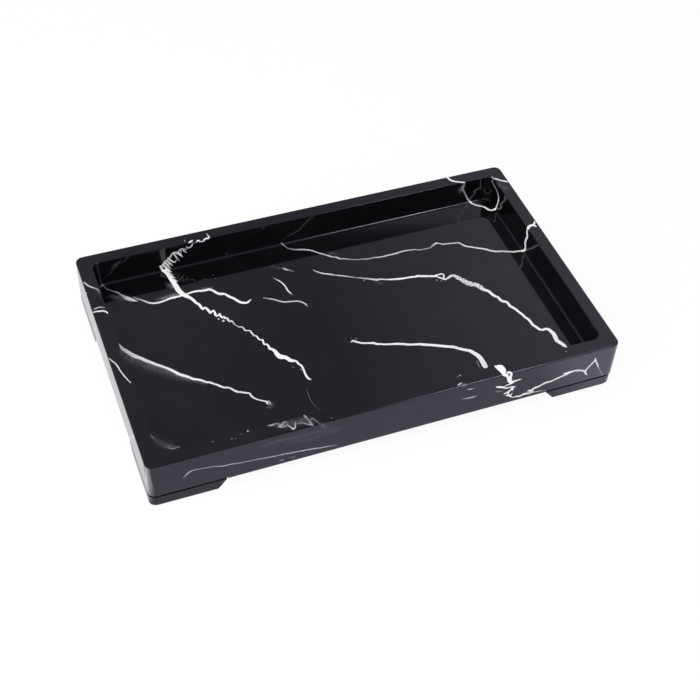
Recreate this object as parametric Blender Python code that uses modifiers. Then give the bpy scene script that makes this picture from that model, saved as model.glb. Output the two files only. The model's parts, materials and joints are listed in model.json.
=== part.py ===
"""Acrylic bathroom tray: a cast tray on four bonded corner feet with anti-slip pads.

Frame: origin on the ground under the middle of the tray, +X along the long side to the right,
+Y to the back, +Z up. The front is the long side at -Y. Lengths are in metres.
"""
import math

import bmesh
import bpy
from mathutils import Vector

MM = 0.001

# Tray body
TRAY_LENGTH = 250 * MM
TRAY_WIDTH = 150 * MM
RECESS_DEPTH = 15.5 * MM
FLOOR_THICKNESS = 7.7 * MM
RIM_WIDTH = 7.4 * MM
OUTER_CORNER_RADIUS = 4.0 * MM
INNER_CORNER_RADIUS = 4.5 * MM
RIM_EDGE_ROUND = 0.8 * MM
MOUTH_EDGE_ROUND = 0.6 * MM
FLOOR_FILLET = 1.2 * MM
UNDERSIDE_ROUND = 1.5 * MM
WALL_DRAFT = math.radians(4)

# Corner feet
UNDERSIDE_HEIGHT = 8.8 * MM            # ground to the tray's underside
FOOT_SIDE = 38.0 * MM
FOOT_INSET = 0.8 * MM                  # how far a foot stands back from the tray's outer face
FOOT_RAMP_RUN = 5.5 * MM
FOOT_BOTTOM_ROUND = 2.0 * MM
FOOT_LIFT = 0.4 * MM                   # the foot's underside above the ground, carried by its pad
GROOVE_HEIGHT = 1.2 * MM
GROOVE_DEPTH = 2.4 * MM
NECK_CORNER_RADIUS = 1.0 * MM
NECK_ROOT = 1.0 * MM                   # how far the neck runs down into the foot that it grows from
NECK_POCKET_DEPTH = 1.8 * MM

# Anti-slip pads
PAD_MARGIN = 4.25 * MM                 # flat of the foot's underside left on each side of its pad
PAD_THICKNESS = 1.2 * MM
PAD_CORNER_RADIUS = 3.0 * MM
PAD_EDGE_ROUND = 0.25 * MM

# Fits and cuts
SEAT_GAP = 0.3 * MM                    # between pieces that are bonded face to face
CUT_OVERRUN = 2.0 * MM                 # how far a cutter runs past the face that it opens

# Facets of the rounded edges
CORNER_SEGMENTS = 10
EDGE_SEGMENTS = 5
SMALL_EDGE_SEGMENTS = 3
SMOOTH_ANGLE = math.radians(35)
MOUTH_ANGLE = math.radians(60)

# Derived sizes
FLOOR_Z = UNDERSIDE_HEIGHT + FLOOR_THICKNESS
RIM_Z = FLOOR_Z + RECESS_DEPTH
FOOT_TOP_Z = UNDERSIDE_HEIGHT - GROOVE_HEIGHT
FOOT_FLAT_SIDE = FOOT_SIDE - FOOT_RAMP_RUN
FOOT_CORNER_RADIUS = OUTER_CORNER_RADIUS - FOOT_INSET
NECK_POCKET_TOP_Z = UNDERSIDE_HEIGHT + NECK_POCKET_DEPTH
NECK_TOP_Z = NECK_POCKET_TOP_Z - SEAT_GAP

# Finishes: colour, roughness
MARBLE_RESIN = ((0.006, 0.006, 0.008), 0.08)
FOOT_RESIN = ((0.012, 0.012, 0.014), 0.22)
PAD_RUBBER = ((0.030, 0.030, 0.032), 0.75)

# Corner name: sign along X, sign along Y, turn about Z that points the foot's own corner outwards
QUARTER_TURN = math.radians(90)
CORNERS = {
    "front_left": (-1, -1, 0),
    "front_right": (1, -1, QUARTER_TURN),
    "rear_right": (1, 1, 2 * QUARTER_TURN),
    "rear_left": (-1, 1, 3 * QUARTER_TURN),
}


def clear_scene():
    """Removes what the file opened with."""
    for obj in list(bpy.data.objects):
        bpy.data.objects.remove(obj, do_unlink=True)


def new_collection(name):
    collection = bpy.data.collections.new(name)
    bpy.context.scene.collection.children.link(collection)
    return collection


def make_material(name, finish):
    colour, roughness = finish
    material = bpy.data.materials.new(name)
    material.use_nodes = True
    shader = material.node_tree.nodes["Principled BSDF"]
    shader.inputs["Base Color"].default_value = (*colour, 1.0)
    shader.inputs["Roughness"].default_value = roughness
    shader.inputs["Metallic"].default_value = 0.0
    return material


def centred(half_length, half_width, z):
    """The lower and the upper corner of a level rectangle about the middle of the tray."""
    return (-half_length, -half_width, z), (half_length, half_width, z)


def square(lower, upper, z):
    """The lower and the upper corner of a level square on a foot's diagonal."""
    return (lower, lower, z), (upper, upper, z)


def frustum(bottom, top):
    """A six-sided block between two level rectangles, each given by its lower and its upper corner."""
    bm = bmesh.new()
    bmesh.ops.create_cube(bm, size=2)
    for vert in bm.verts:
        lower, upper = bottom if vert.co.z < 0 else top
        x = lower[0] if vert.co.x < 0 else upper[0]
        y = lower[1] if vert.co.y < 0 else upper[1]
        vert.co = Vector((x, y, lower[2]))
    bm.normal_update()
    return bm


def steep_edges(bm):
    """The edges that run from the bottom face to the top face."""
    heights = [vert.co.z for vert in bm.verts]
    middle = (min(heights) + max(heights)) / 2
    return [edge for edge in bm.edges
            if (edge.verts[0].co.z < middle) != (edge.verts[1].co.z < middle)]


def corner_edge(bm):
    """The steep edge at a foot's own outer corner, which lies nearest to the foot's origin."""
    return [min(steep_edges(bm), key=lambda edge: sum(vert.co.xy.length for vert in edge.verts))]


def level_loop(bm, direction):
    """The edges round the level faces that look up (1) or down (-1)."""
    faces = {face for face in bm.faces if face.normal.z * direction > math.cos(SMOOTH_ANGLE)}
    return [edge for edge in bm.edges
            if sum(face in faces for face in edge.link_faces) == 1]


def round_edges(bm, edges, radius, segments):
    bmesh.ops.bevel(bm, geom=edges, offset=radius, offset_type="OFFSET", segments=segments,
                    profile=0.5, affect="EDGES", clamp_overlap=False)
    bm.normal_update()


def finish_mesh(bm, name):
    """Turns a bmesh into a mesh that shades smooth across its rounded edges."""
    bmesh.ops.recalc_face_normals(bm, faces=bm.faces)
    mesh = bpy.data.meshes.new(name)
    bm.to_mesh(mesh)
    bm.free()
    mesh.shade_smooth()
    mesh.set_sharp_from_angle(angle=SMOOTH_ANGLE)
    return mesh


def add_part(mesh, name, material, collection):
    obj = bpy.data.objects.new(name, mesh)
    if not mesh.materials:
        mesh.materials.append(material)
    collection.objects.link(obj)
    return obj


def add_cutter(mesh, name, collection):
    obj = bpy.data.objects.new(name, mesh)
    obj.hide_render = True
    obj.display_type = "WIRE"
    collection.objects.link(obj)
    return obj


def combine(obj, other, operation):
    """Cuts another object out of obj (DIFFERENCE) or joins it on (UNION)."""
    modifier = obj.modifiers.new(other.name, "BOOLEAN")
    modifier.operation = operation
    modifier.solver = "EXACT"
    modifier.object = other


def tray_blank():
    """The casting's outside: corners, rim edge and underside rounded, not hollowed yet."""
    bm = frustum(centred(TRAY_LENGTH / 2, TRAY_WIDTH / 2, UNDERSIDE_HEIGHT),
                 centred(TRAY_LENGTH / 2, TRAY_WIDTH / 2, RIM_Z))
    round_edges(bm, steep_edges(bm), OUTER_CORNER_RADIUS, CORNER_SEGMENTS)
    round_edges(bm, level_loop(bm, 1), RIM_EDGE_ROUND, SMALL_EDGE_SEGMENTS)
    round_edges(bm, level_loop(bm, -1), UNDERSIDE_ROUND, EDGE_SEGMENTS)
    return finish_mesh(bm, "tray_body")


def recess_block():
    """The recess as a solid: walls drawn in towards the floor, round corners, a fillet at the floor."""
    mouth_length = TRAY_LENGTH / 2 - RIM_WIDTH
    mouth_width = TRAY_WIDTH / 2 - RIM_WIDTH
    draw = math.tan(WALL_DRAFT)
    floor_draw = RECESS_DEPTH * draw
    over_draw = CUT_OVERRUN * draw
    bm = frustum(centred(mouth_length - floor_draw, mouth_width - floor_draw, FLOOR_Z),
                 centred(mouth_length + over_draw, mouth_width + over_draw, RIM_Z + CUT_OVERRUN))
    round_edges(bm, steep_edges(bm), INNER_CORNER_RADIUS, CORNER_SEGMENTS)
    round_edges(bm, level_loop(bm, -1), FLOOR_FILLET, SMALL_EDGE_SEGMENTS)
    return finish_mesh(bm, "recess")


def foot_block():
    """A foot in its own frame: its outer corner is at the origin, and it runs inwards along +X and +Y."""
    bm = frustum(square(0, FOOT_FLAT_SIDE, FOOT_LIFT), square(0, FOOT_SIDE, FOOT_TOP_Z))
    round_edges(bm, corner_edge(bm), FOOT_CORNER_RADIUS, CORNER_SEGMENTS)
    round_edges(bm, level_loop(bm, -1), FOOT_BOTTOM_ROUND, EDGE_SEGMENTS)
    return finish_mesh(bm, "foot")


def neck_block():
    """The neck that a foot grows upwards, set back all round to leave the shadow groove."""
    lower, upper = GROOVE_DEPTH, FOOT_SIDE - GROOVE_DEPTH
    bm = frustum(square(lower, upper, FOOT_TOP_Z - NECK_ROOT), square(lower, upper, NECK_TOP_Z))
    round_edges(bm, corner_edge(bm), NECK_CORNER_RADIUS, EDGE_SEGMENTS)
    return finish_mesh(bm, "neck")


def neck_pocket_block():
    """The pocket in the tray's underside that takes a neck with the seat gap all round."""
    lower, upper = GROOVE_DEPTH - SEAT_GAP, FOOT_SIDE - GROOVE_DEPTH + SEAT_GAP
    bm = frustum(square(lower, upper, UNDERSIDE_HEIGHT - CUT_OVERRUN), square(lower, upper, NECK_POCKET_TOP_Z))
    round_edges(bm, corner_edge(bm), NECK_CORNER_RADIUS + SEAT_GAP, EDGE_SEGMENTS)
    return finish_mesh(bm, "neck_pocket")


def pad_block():
    """A pad in the foot's frame, in the middle of the foot's flat underside."""
    lower, upper = PAD_MARGIN, FOOT_FLAT_SIDE - PAD_MARGIN
    bm = frustum(square(lower, upper, 0), square(lower, upper, PAD_THICKNESS))
    round_edges(bm, steep_edges(bm), PAD_CORNER_RADIUS, EDGE_SEGMENTS)
    round_edges(bm, level_loop(bm, -1), PAD_EDGE_ROUND, SMALL_EDGE_SEGMENTS)
    return finish_mesh(bm, "pad")


def pad_pocket_block():
    """The pocket in a foot's underside that takes a pad with the seat gap all round."""
    lower, upper = PAD_MARGIN - SEAT_GAP, FOOT_FLAT_SIDE - PAD_MARGIN + SEAT_GAP
    bm = frustum(square(lower, upper, -CUT_OVERRUN), square(lower, upper, PAD_THICKNESS + SEAT_GAP))
    round_edges(bm, steep_edges(bm), PAD_CORNER_RADIUS + SEAT_GAP, EDGE_SEGMENTS)
    return finish_mesh(bm, "pad_pocket")


def build_tray_body(parts, cutters):
    body = add_part(tray_blank(), "tray_body", make_material("marble_resin", MARBLE_RESIN), parts)
    combine(body, add_cutter(recess_block(), "recess", cutters), "DIFFERENCE")
    mouth = body.modifiers.new("mouth_edge_round", "BEVEL")
    mouth.limit_method = "ANGLE"
    mouth.angle_limit = MOUTH_ANGLE
    mouth.width = MOUTH_EDGE_ROUND
    mouth.segments = SMALL_EDGE_SEGMENTS
    return body


def build_feet(body, parts, cutters):
    """Four feet share one mesh and are turned in quarters; each seats in the body and carries its pad."""
    foot_mesh, neck_mesh, neck_pocket_mesh = foot_block(), neck_block(), neck_pocket_block()
    pad_mesh, pad_pocket_mesh = pad_block(), pad_pocket_block()
    foot_resin = make_material("foot_resin", FOOT_RESIN)
    pad_rubber = make_material("pad_rubber", PAD_RUBBER)
    for corner, (sign_x, sign_y, turn) in CORNERS.items():
        foot = add_part(foot_mesh, "foot_" + corner, foot_resin, parts)
        foot.location.x = sign_x * (TRAY_LENGTH / 2 - FOOT_INSET)
        foot.location.y = sign_y * (TRAY_WIDTH / 2 - FOOT_INSET)
        foot.rotation_euler.z = turn
        pad = add_part(pad_mesh, "pad_" + corner, pad_rubber, parts)
        neck = add_cutter(neck_mesh, "neck_" + corner, cutters)
        neck_pocket = add_cutter(neck_pocket_mesh, "neck_pocket_" + corner, cutters)
        pad_pocket = add_cutter(pad_pocket_mesh, "pad_pocket_" + corner, cutters)
        for carried in (pad, neck, neck_pocket, pad_pocket):
            carried.parent = foot
        combine(foot, neck, "UNION")
        combine(foot, pad_pocket, "DIFFERENCE")
        combine(body, neck_pocket, "DIFFERENCE")


def main():
    clear_scene()
    parts = new_collection("acrylic_bathroom_tray")
    cutters = new_collection("cutters")
    body = build_tray_body(parts, cutters)
    build_feet(body, parts, cutters)
    bpy.context.view_layer.update()


main()
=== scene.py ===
"""Acrylic bathroom tray: polished black casting with pale marble veins, bonded feet, anti-slip pads.

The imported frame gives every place. Lengths are in metres where a name doesn't say otherwise.
"""
import json
import math
from typing import NamedTuple

import bmesh
import bpy
import numpy as np
from bpy.props import FloatProperty, FloatVectorProperty, PointerProperty
from mathutils import Matrix, Vector
from mathutils.bvhtree import BVHTree


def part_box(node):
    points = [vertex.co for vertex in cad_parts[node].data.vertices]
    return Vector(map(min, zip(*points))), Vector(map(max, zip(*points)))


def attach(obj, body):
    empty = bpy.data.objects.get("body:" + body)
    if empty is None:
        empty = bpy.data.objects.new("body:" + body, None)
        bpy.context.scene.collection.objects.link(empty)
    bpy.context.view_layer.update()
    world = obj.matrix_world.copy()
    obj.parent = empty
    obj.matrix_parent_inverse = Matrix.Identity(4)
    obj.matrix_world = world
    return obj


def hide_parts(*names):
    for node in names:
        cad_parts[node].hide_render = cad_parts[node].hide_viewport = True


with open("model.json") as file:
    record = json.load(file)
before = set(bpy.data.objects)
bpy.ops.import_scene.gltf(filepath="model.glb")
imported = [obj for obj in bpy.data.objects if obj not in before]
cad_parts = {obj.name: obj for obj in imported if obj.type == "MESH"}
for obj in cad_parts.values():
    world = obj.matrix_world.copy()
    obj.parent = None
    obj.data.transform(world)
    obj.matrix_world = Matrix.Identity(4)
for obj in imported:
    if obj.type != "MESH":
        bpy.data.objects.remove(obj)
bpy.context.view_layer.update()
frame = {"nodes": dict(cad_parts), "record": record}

bl_info = {
    "name": "Acrylic bathroom tray",
    "version": (1, 0, 0),
    "blender": (4, 5, 0),
    "location": "3D View > Sidebar > Tray",
    "description": "Builds a marbled cast bathroom tray on bonded corner feet",
    "category": "Object",
}

MM = 0.001
BODY = "root"
TRAY_NODE = "tray_body"
CORNERS = ("front_left", "front_right", "rear_left", "rear_right")

# The frame's own sizes
TRAY_LOW, TRAY_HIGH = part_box(TRAY_NODE)
HALF_LENGTH = TRAY_HIGH.x
HALF_WIDTH = TRAY_HIGH.y
UNDERSIDE_Z = TRAY_LOW.z
RIM_Z = TRAY_HIGH.z
FLOOR_Z = next(m["pos_m"][2] for m in frame["record"]["mounts"] if m["name"] == "tray_floor")
NECK_TOP_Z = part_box("foot_front_left")[1].z
NECK_CLEARANCE = 0.3 * MM              # over a neck in its pocket
NECK_SETBACK = 2.1 * MM                # from a foot's outer face in to its neck pocket
BELLY_DROP = 1.2 * MM                  # how far the casting reaches below its seats on the feet
SEAT_RISE = 1.0 * MM                   # how far the seats are let in above the underside
SEAT_CLEARANCE = 0.3 * MM              # round a foot in its seat
FOOT_STRETCH = 0.7 * MM                # how far a foot's end face is brought out towards the end wall
FOOT_SKIN = 2.0 * MM                   # how deep under that face the stretch reaches
CUT_OVERRUN = 3.0 * MM
WALL_START = 5.0 * MM                  # the recess walls lie further in than this
WALL_FOOT = 1.2 * MM                   # and start this far above the floor

# Camera, solved from the straight edges of the tray
PHOTO_SIDE = 700
FOCAL_PIXELS = 1322.0
SENSOR = 36 * MM
CLIP_START = 10 * MM
CAMERA_PLACE = Vector((-0.18530, -0.45189, 0.52353))
CAMERA_AZIMUTH = math.radians(-22.941)
CAMERA_ELEVATION = math.radians(47.318)
CAMERA_ROLL = math.radians(3.193)

# How finely the casting is meshed
MESH_STEP = 2.4 * MM
CORNER_STEPS = 5                       # perimeter steps added past each side to share out at the corners
SUPPORT = 0.06 * MM                    # rings that hold a flat face flat beside a rounded edge
ROUND_SEGMENTS = 6
MERGE_DISTANCE = 0.01 * MM
SHARP_ANGLE = math.radians(50)

# How the veins are laid on the casting
ROUTE_STEP = 0.35                      # between samples of a route, in the units of its points
VEIN_REACH = 3.0 * MM                  # past this a point doesn't look for a vein
FAR_OUTSIDE = -20.0                    # depth in mm of a point that lies in no vein's reach
CROSSING_DEPTH = 0.15                  # where veins cross, the stronger one shows from this depth in mm
FLECK_RAGGED = 0.3
HAZE_REACH = 3.0                       # a haze is laid out to this many of its widths
FAINT_HAZE = 0.015
HAZE_CELL = 0.8 * MM                   # haze needs no finer faces than this

# Each level halves the edges longer than its second value of the faces whose middles lie within its
# first value, in mm, of a vein's edge
REFINE_LEVELS = ((1.85, 1.4 * MM), (1.0, 0.85 * MM), (0.55, 0.45 * MM))

# The stage
FLOOR_SIDE = 3.0
OVERHEAD_SIDE, OVERHEAD_PLACE = 1.3, Vector((-0.35, -0.25, 1.25))
SIDE_FILL_SIDE, SIDE_FILL_PLACE = 0.9, Vector((-0.85, -0.62, 0.58))
LAMP_WATTS = math.pi ** 2              # a lamp of this power a metre off makes a white face glow with 1
FILL_TINT = (0.99, 1.0, 0.87)          # evens out the cool sky
CARD_AIM = Vector((0.05, 0.066, 0.02))                     # what the softbox faces
CARD_TOWARDS = Vector((0.31, -0.585, 0.75)).normalized()
CARD_DISTANCE = 1.0
CARD_LOW, CARD_HIGH = -0.17, 0.010     # its lower and upper edge above its middle
CARD_SLANT = -0.19                     # fall of its upper edge from left to right
CARD_LEFT, CARD_RIGHT = -0.18, 0.34
CARD_FADE = -0.06                      # where its light has come up from nothing at its left edge
LEFT_REFLECTOR = (-0.129, -0.1254, -0.066, 0.11)           # left, right, front and back edge
CORNER_OUTLINE = ((-0.150, -0.086), (-0.1254, -0.086), (-0.1254, -0.066), (-0.129, -0.066),
                  (-0.129, -0.056), (-0.150, -0.056))
CORNER_FADE = (-0.1262, -0.136)        # from the left reflector's brightness up to its own
RIGHT_REFLECTOR = (0.090, 0.160, -0.115, -0.0755)          # its edges in the same order
REFLECTOR_FADE = 24 * MM               # how far the right one takes to come up from the floor's brightness
STRIP_EDGES = (-0.17, 0.03, -0.16, -0.075)                # left, right, lower and upper edge on the softbox
REFLECTOR_LIFT = 0.3 * MM
STRIP_STANDOFF = 5 * MM                # the strip hangs this far before the softbox


class Grain(NamedTuple):
    """A noise pattern over places in metres."""
    scale: float
    detail: float = 2.0
    roughness: float = 0.5
    distortion: float = 0.0


VEIN_FRAY = Grain(1100.0, 4.0, 0.7)
VEIN_SPECKLE = Grain(1150.0, 2.0, 0.6)
VEIN_GRAIN = Grain(1500.0)
HAZE_SMOKE = Grain(420.0, 4.0, 0.65, 0.6)
BODY_CLOUD = Grain(22.0, 5.0, 0.6, 0.8)
FOOT_CLOUD = Grain(60.0, 4.0, 0.6)
FOOT_POLISH = Grain(900.0)
RUBBER_GRAIN = Grain(2600.0, 3.0)

FRAY_REACH = 1.1                       # mm that the noise's whole range moves a fully ragged edge
FRAY_MIDDLE = 0.5                      # noise at which the edge stays where it is

# A range of a pattern, and where two more values stand, what its two ends become
EDGE_RANGE = (-0.12, 0.12)             # of the depth inside a vein's edge, in mm
SPECKLE_RANGE = (0.40, 0.56, 0.35, 1.0)
SPECKLED_RANGE = (0.65, 1.0)           # of the raggedness, from no speckle to all of it
GRAIN_RANGE = (0.35, 0.6, 0.84, 1.0)
SMOKE_RANGE = (0.3, 0.7, 0.45, 1.45)
BODY_CLOUD_RANGE = (0.48, 0.72)
STREAK_RANGE = (0.35, 0.95)            # of a vein's strength, from its edge's colour to its middle's
FOOT_CLOUD_RANGE = (0.45, 0.75)
FOOT_POLISH_RANGE = (0.3, 0.7, 0.10, 0.18)
FOOT_SPECULAR = 0.4
RUBBER_RANGE = (0.3, 0.7, 0.7, 1.2)
RUBBER_ROUGHNESS = 0.7
RUBBER_RELIEF = 0.05 * MM

# The sky by direction, as the share of it that points right or away from the viewer's side
SKY_LEFT = (0.05, 0.22)                # over which what the sky gains at the left goes
SKY_RISE = (0.25, 0.45)                # over which it comes up at the right
SKY_FALL = (0.55, 0.75, 1.0, 0.45)     # and dims again further right
SKY_NEAR = (-0.5, -0.2, 0.82, 1.0)     # a little dimmer on the viewer's side

# Sockets of a Mix node, by what it mixes: factor, first and second value, and the result
MIX_SOCKETS = {"FLOAT": ((0, 2, 3), 0), "RGBA": ((0, 6, 7), 2)}


class TraySizes(bpy.types.PropertyGroup):
    """Sizes of the casting"""
    rim_width: FloatProperty(name="Rim width", description="Flat rim between outer wall and recess",
                             default=7.4 * MM, unit="LENGTH")
    wall_draft: FloatProperty(name="Wall draft", description="Slope of the recess walls",
                              default=math.radians(4), unit="ROTATION")
    outer_corner: FloatProperty(name="Outer corner", description="Radius of the upright outer corners",
                                default=4.0 * MM, unit="LENGTH")
    inner_corner: FloatProperty(name="Inner corner", description="Radius of the recess corners",
                                default=4.5 * MM, unit="LENGTH")
    rim_round: FloatProperty(name="Rim edge round", description="Rounding of the rim's outer edge",
                             default=0.8 * MM, unit="LENGTH")
    mouth_round: FloatProperty(name="Mouth edge round", description="Rounding of the rim's inner edge",
                               default=0.25 * MM, unit="LENGTH")
    floor_fillet: FloatProperty(name="Floor fillet", description="Fillet between recess walls and floor",
                                default=1.2 * MM, unit="LENGTH")
    underside_round: FloatProperty(name="Underside round", description="Rounding under the outer wall",
                                   default=2.0 * MM, unit="LENGTH")


class TrayColours(bpy.types.PropertyGroup):
    """Colours and polish of the finishes"""
    resin: FloatVectorProperty(name="Resin", description="Body colour of the black casting",
                               default=(0.0026, 0.0026, 0.0032), size=3, subtype="COLOR", min=0, max=1)
    resin_cloud: FloatVectorProperty(name="Resin cloud", description="Paler clouding inside the casting",
                                     default=(0.0050, 0.0050, 0.0066), size=3, subtype="COLOR",
                                     min=0, max=1)
    vein: FloatVectorProperty(name="Vein", description="Colour in the middle of a vein",
                              default=(0.95, 0.95, 0.96), size=3, subtype="COLOR", min=0, max=1)
    vein_edge: FloatVectorProperty(name="Vein edge", description="Cool grey where a vein thins out",
                                   default=(0.50, 0.52, 0.61), size=3, subtype="COLOR", min=0, max=1)
    rubber: FloatVectorProperty(name="Rubber", description="Colour of the anti-slip pads",
                                default=(0.030, 0.030, 0.032), size=3, subtype="COLOR", min=0, max=1)
    gloss: FloatProperty(name="Gloss roughness", description="Roughness of the polished surface",
                         default=0.05, min=0, max=1, subtype="FACTOR")
    wall_gloss: FloatProperty(name="Wall roughness", default=0.07, min=0, max=1, subtype="FACTOR",
                              description="Roughness of the recess walls, left as cast")


class TrayStudio(bpy.types.PropertyGroup):
    """Lights of the stage"""
    sky: FloatProperty(name="Sky", description="Brightness of the sky", default=0.335)
    sky_right: FloatProperty(name="Sky right", default=0.755,
                             description="Brightness of the sky at the right")
    sky_edge: FloatProperty(name="Sky left", default=0.09,
                            description="Brightness that the sky gains to the left")
    fill: FloatProperty(name="Fill", default=0.66,
                        description="Light that the overhead lamp lays on the tray")
    side_fill: FloatProperty(name="Side fill", default=0.65,
                             description="Light that the lamp at the front left lays on the tray")
    card: FloatProperty(name="Softbox", default=8.0,
                        description="Brightness of the softbox at the front right")
    strip: FloatProperty(name="Hot strip", default=46.0,
                         description="Brightness of the strip across the softbox")
    left_reflector: FloatProperty(name="Left reflector", default=1.05,
                                  description="Brightness of the card by the left wall")
    corner_reflector: FloatProperty(name="Corner reflector", default=2.9,
                                    description="Brightness of the card by the front left corner")
    right_reflector: FloatProperty(name="Right reflector", default=1.38,
                                   description="Brightness of the card before the front wall's right end")
    floor: FloatProperty(name="Floor", description="Whiteness of the floor", default=0.95, min=0, max=1,
                         subtype="FACTOR")
    floor_glow: FloatProperty(name="Floor glow", default=0.93, min=0, max=1, subtype="FACTOR",
                              description="Share of plain white in the floor as it is seen")
    mirrored_floor: FloatProperty(name="Mirrored floor", default=0.80,
                                  description="Brightness of the floor in gloss")
    cool: FloatVectorProperty(name="Cool light", description="Tint of what the gloss mirrors",
                              default=(0.94, 0.91, 1.15), size=3, subtype="COLOR", min=0, max=2)
    neutral: FloatVectorProperty(name="Neutral light", description="Tint of the cards by the left wall",
                                 default=(0.94, 0.94, 0.975), size=3, subtype="COLOR", min=0, max=2)


class Vein(NamedTuple):
    """A pale streak: its route, and strengths and raggedness spread along it."""
    name: str
    route: tuple
    strengths: tuple = (1.0,)
    ragged: tuple = (0.4,)
    angular: bool = False              # with straight runs between its points


class Haze(NamedTuple):
    """Smoke in the resin: like a vein, with no edge but a width in mm over which it fades."""
    name: str
    route: tuple
    strengths: tuple


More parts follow.
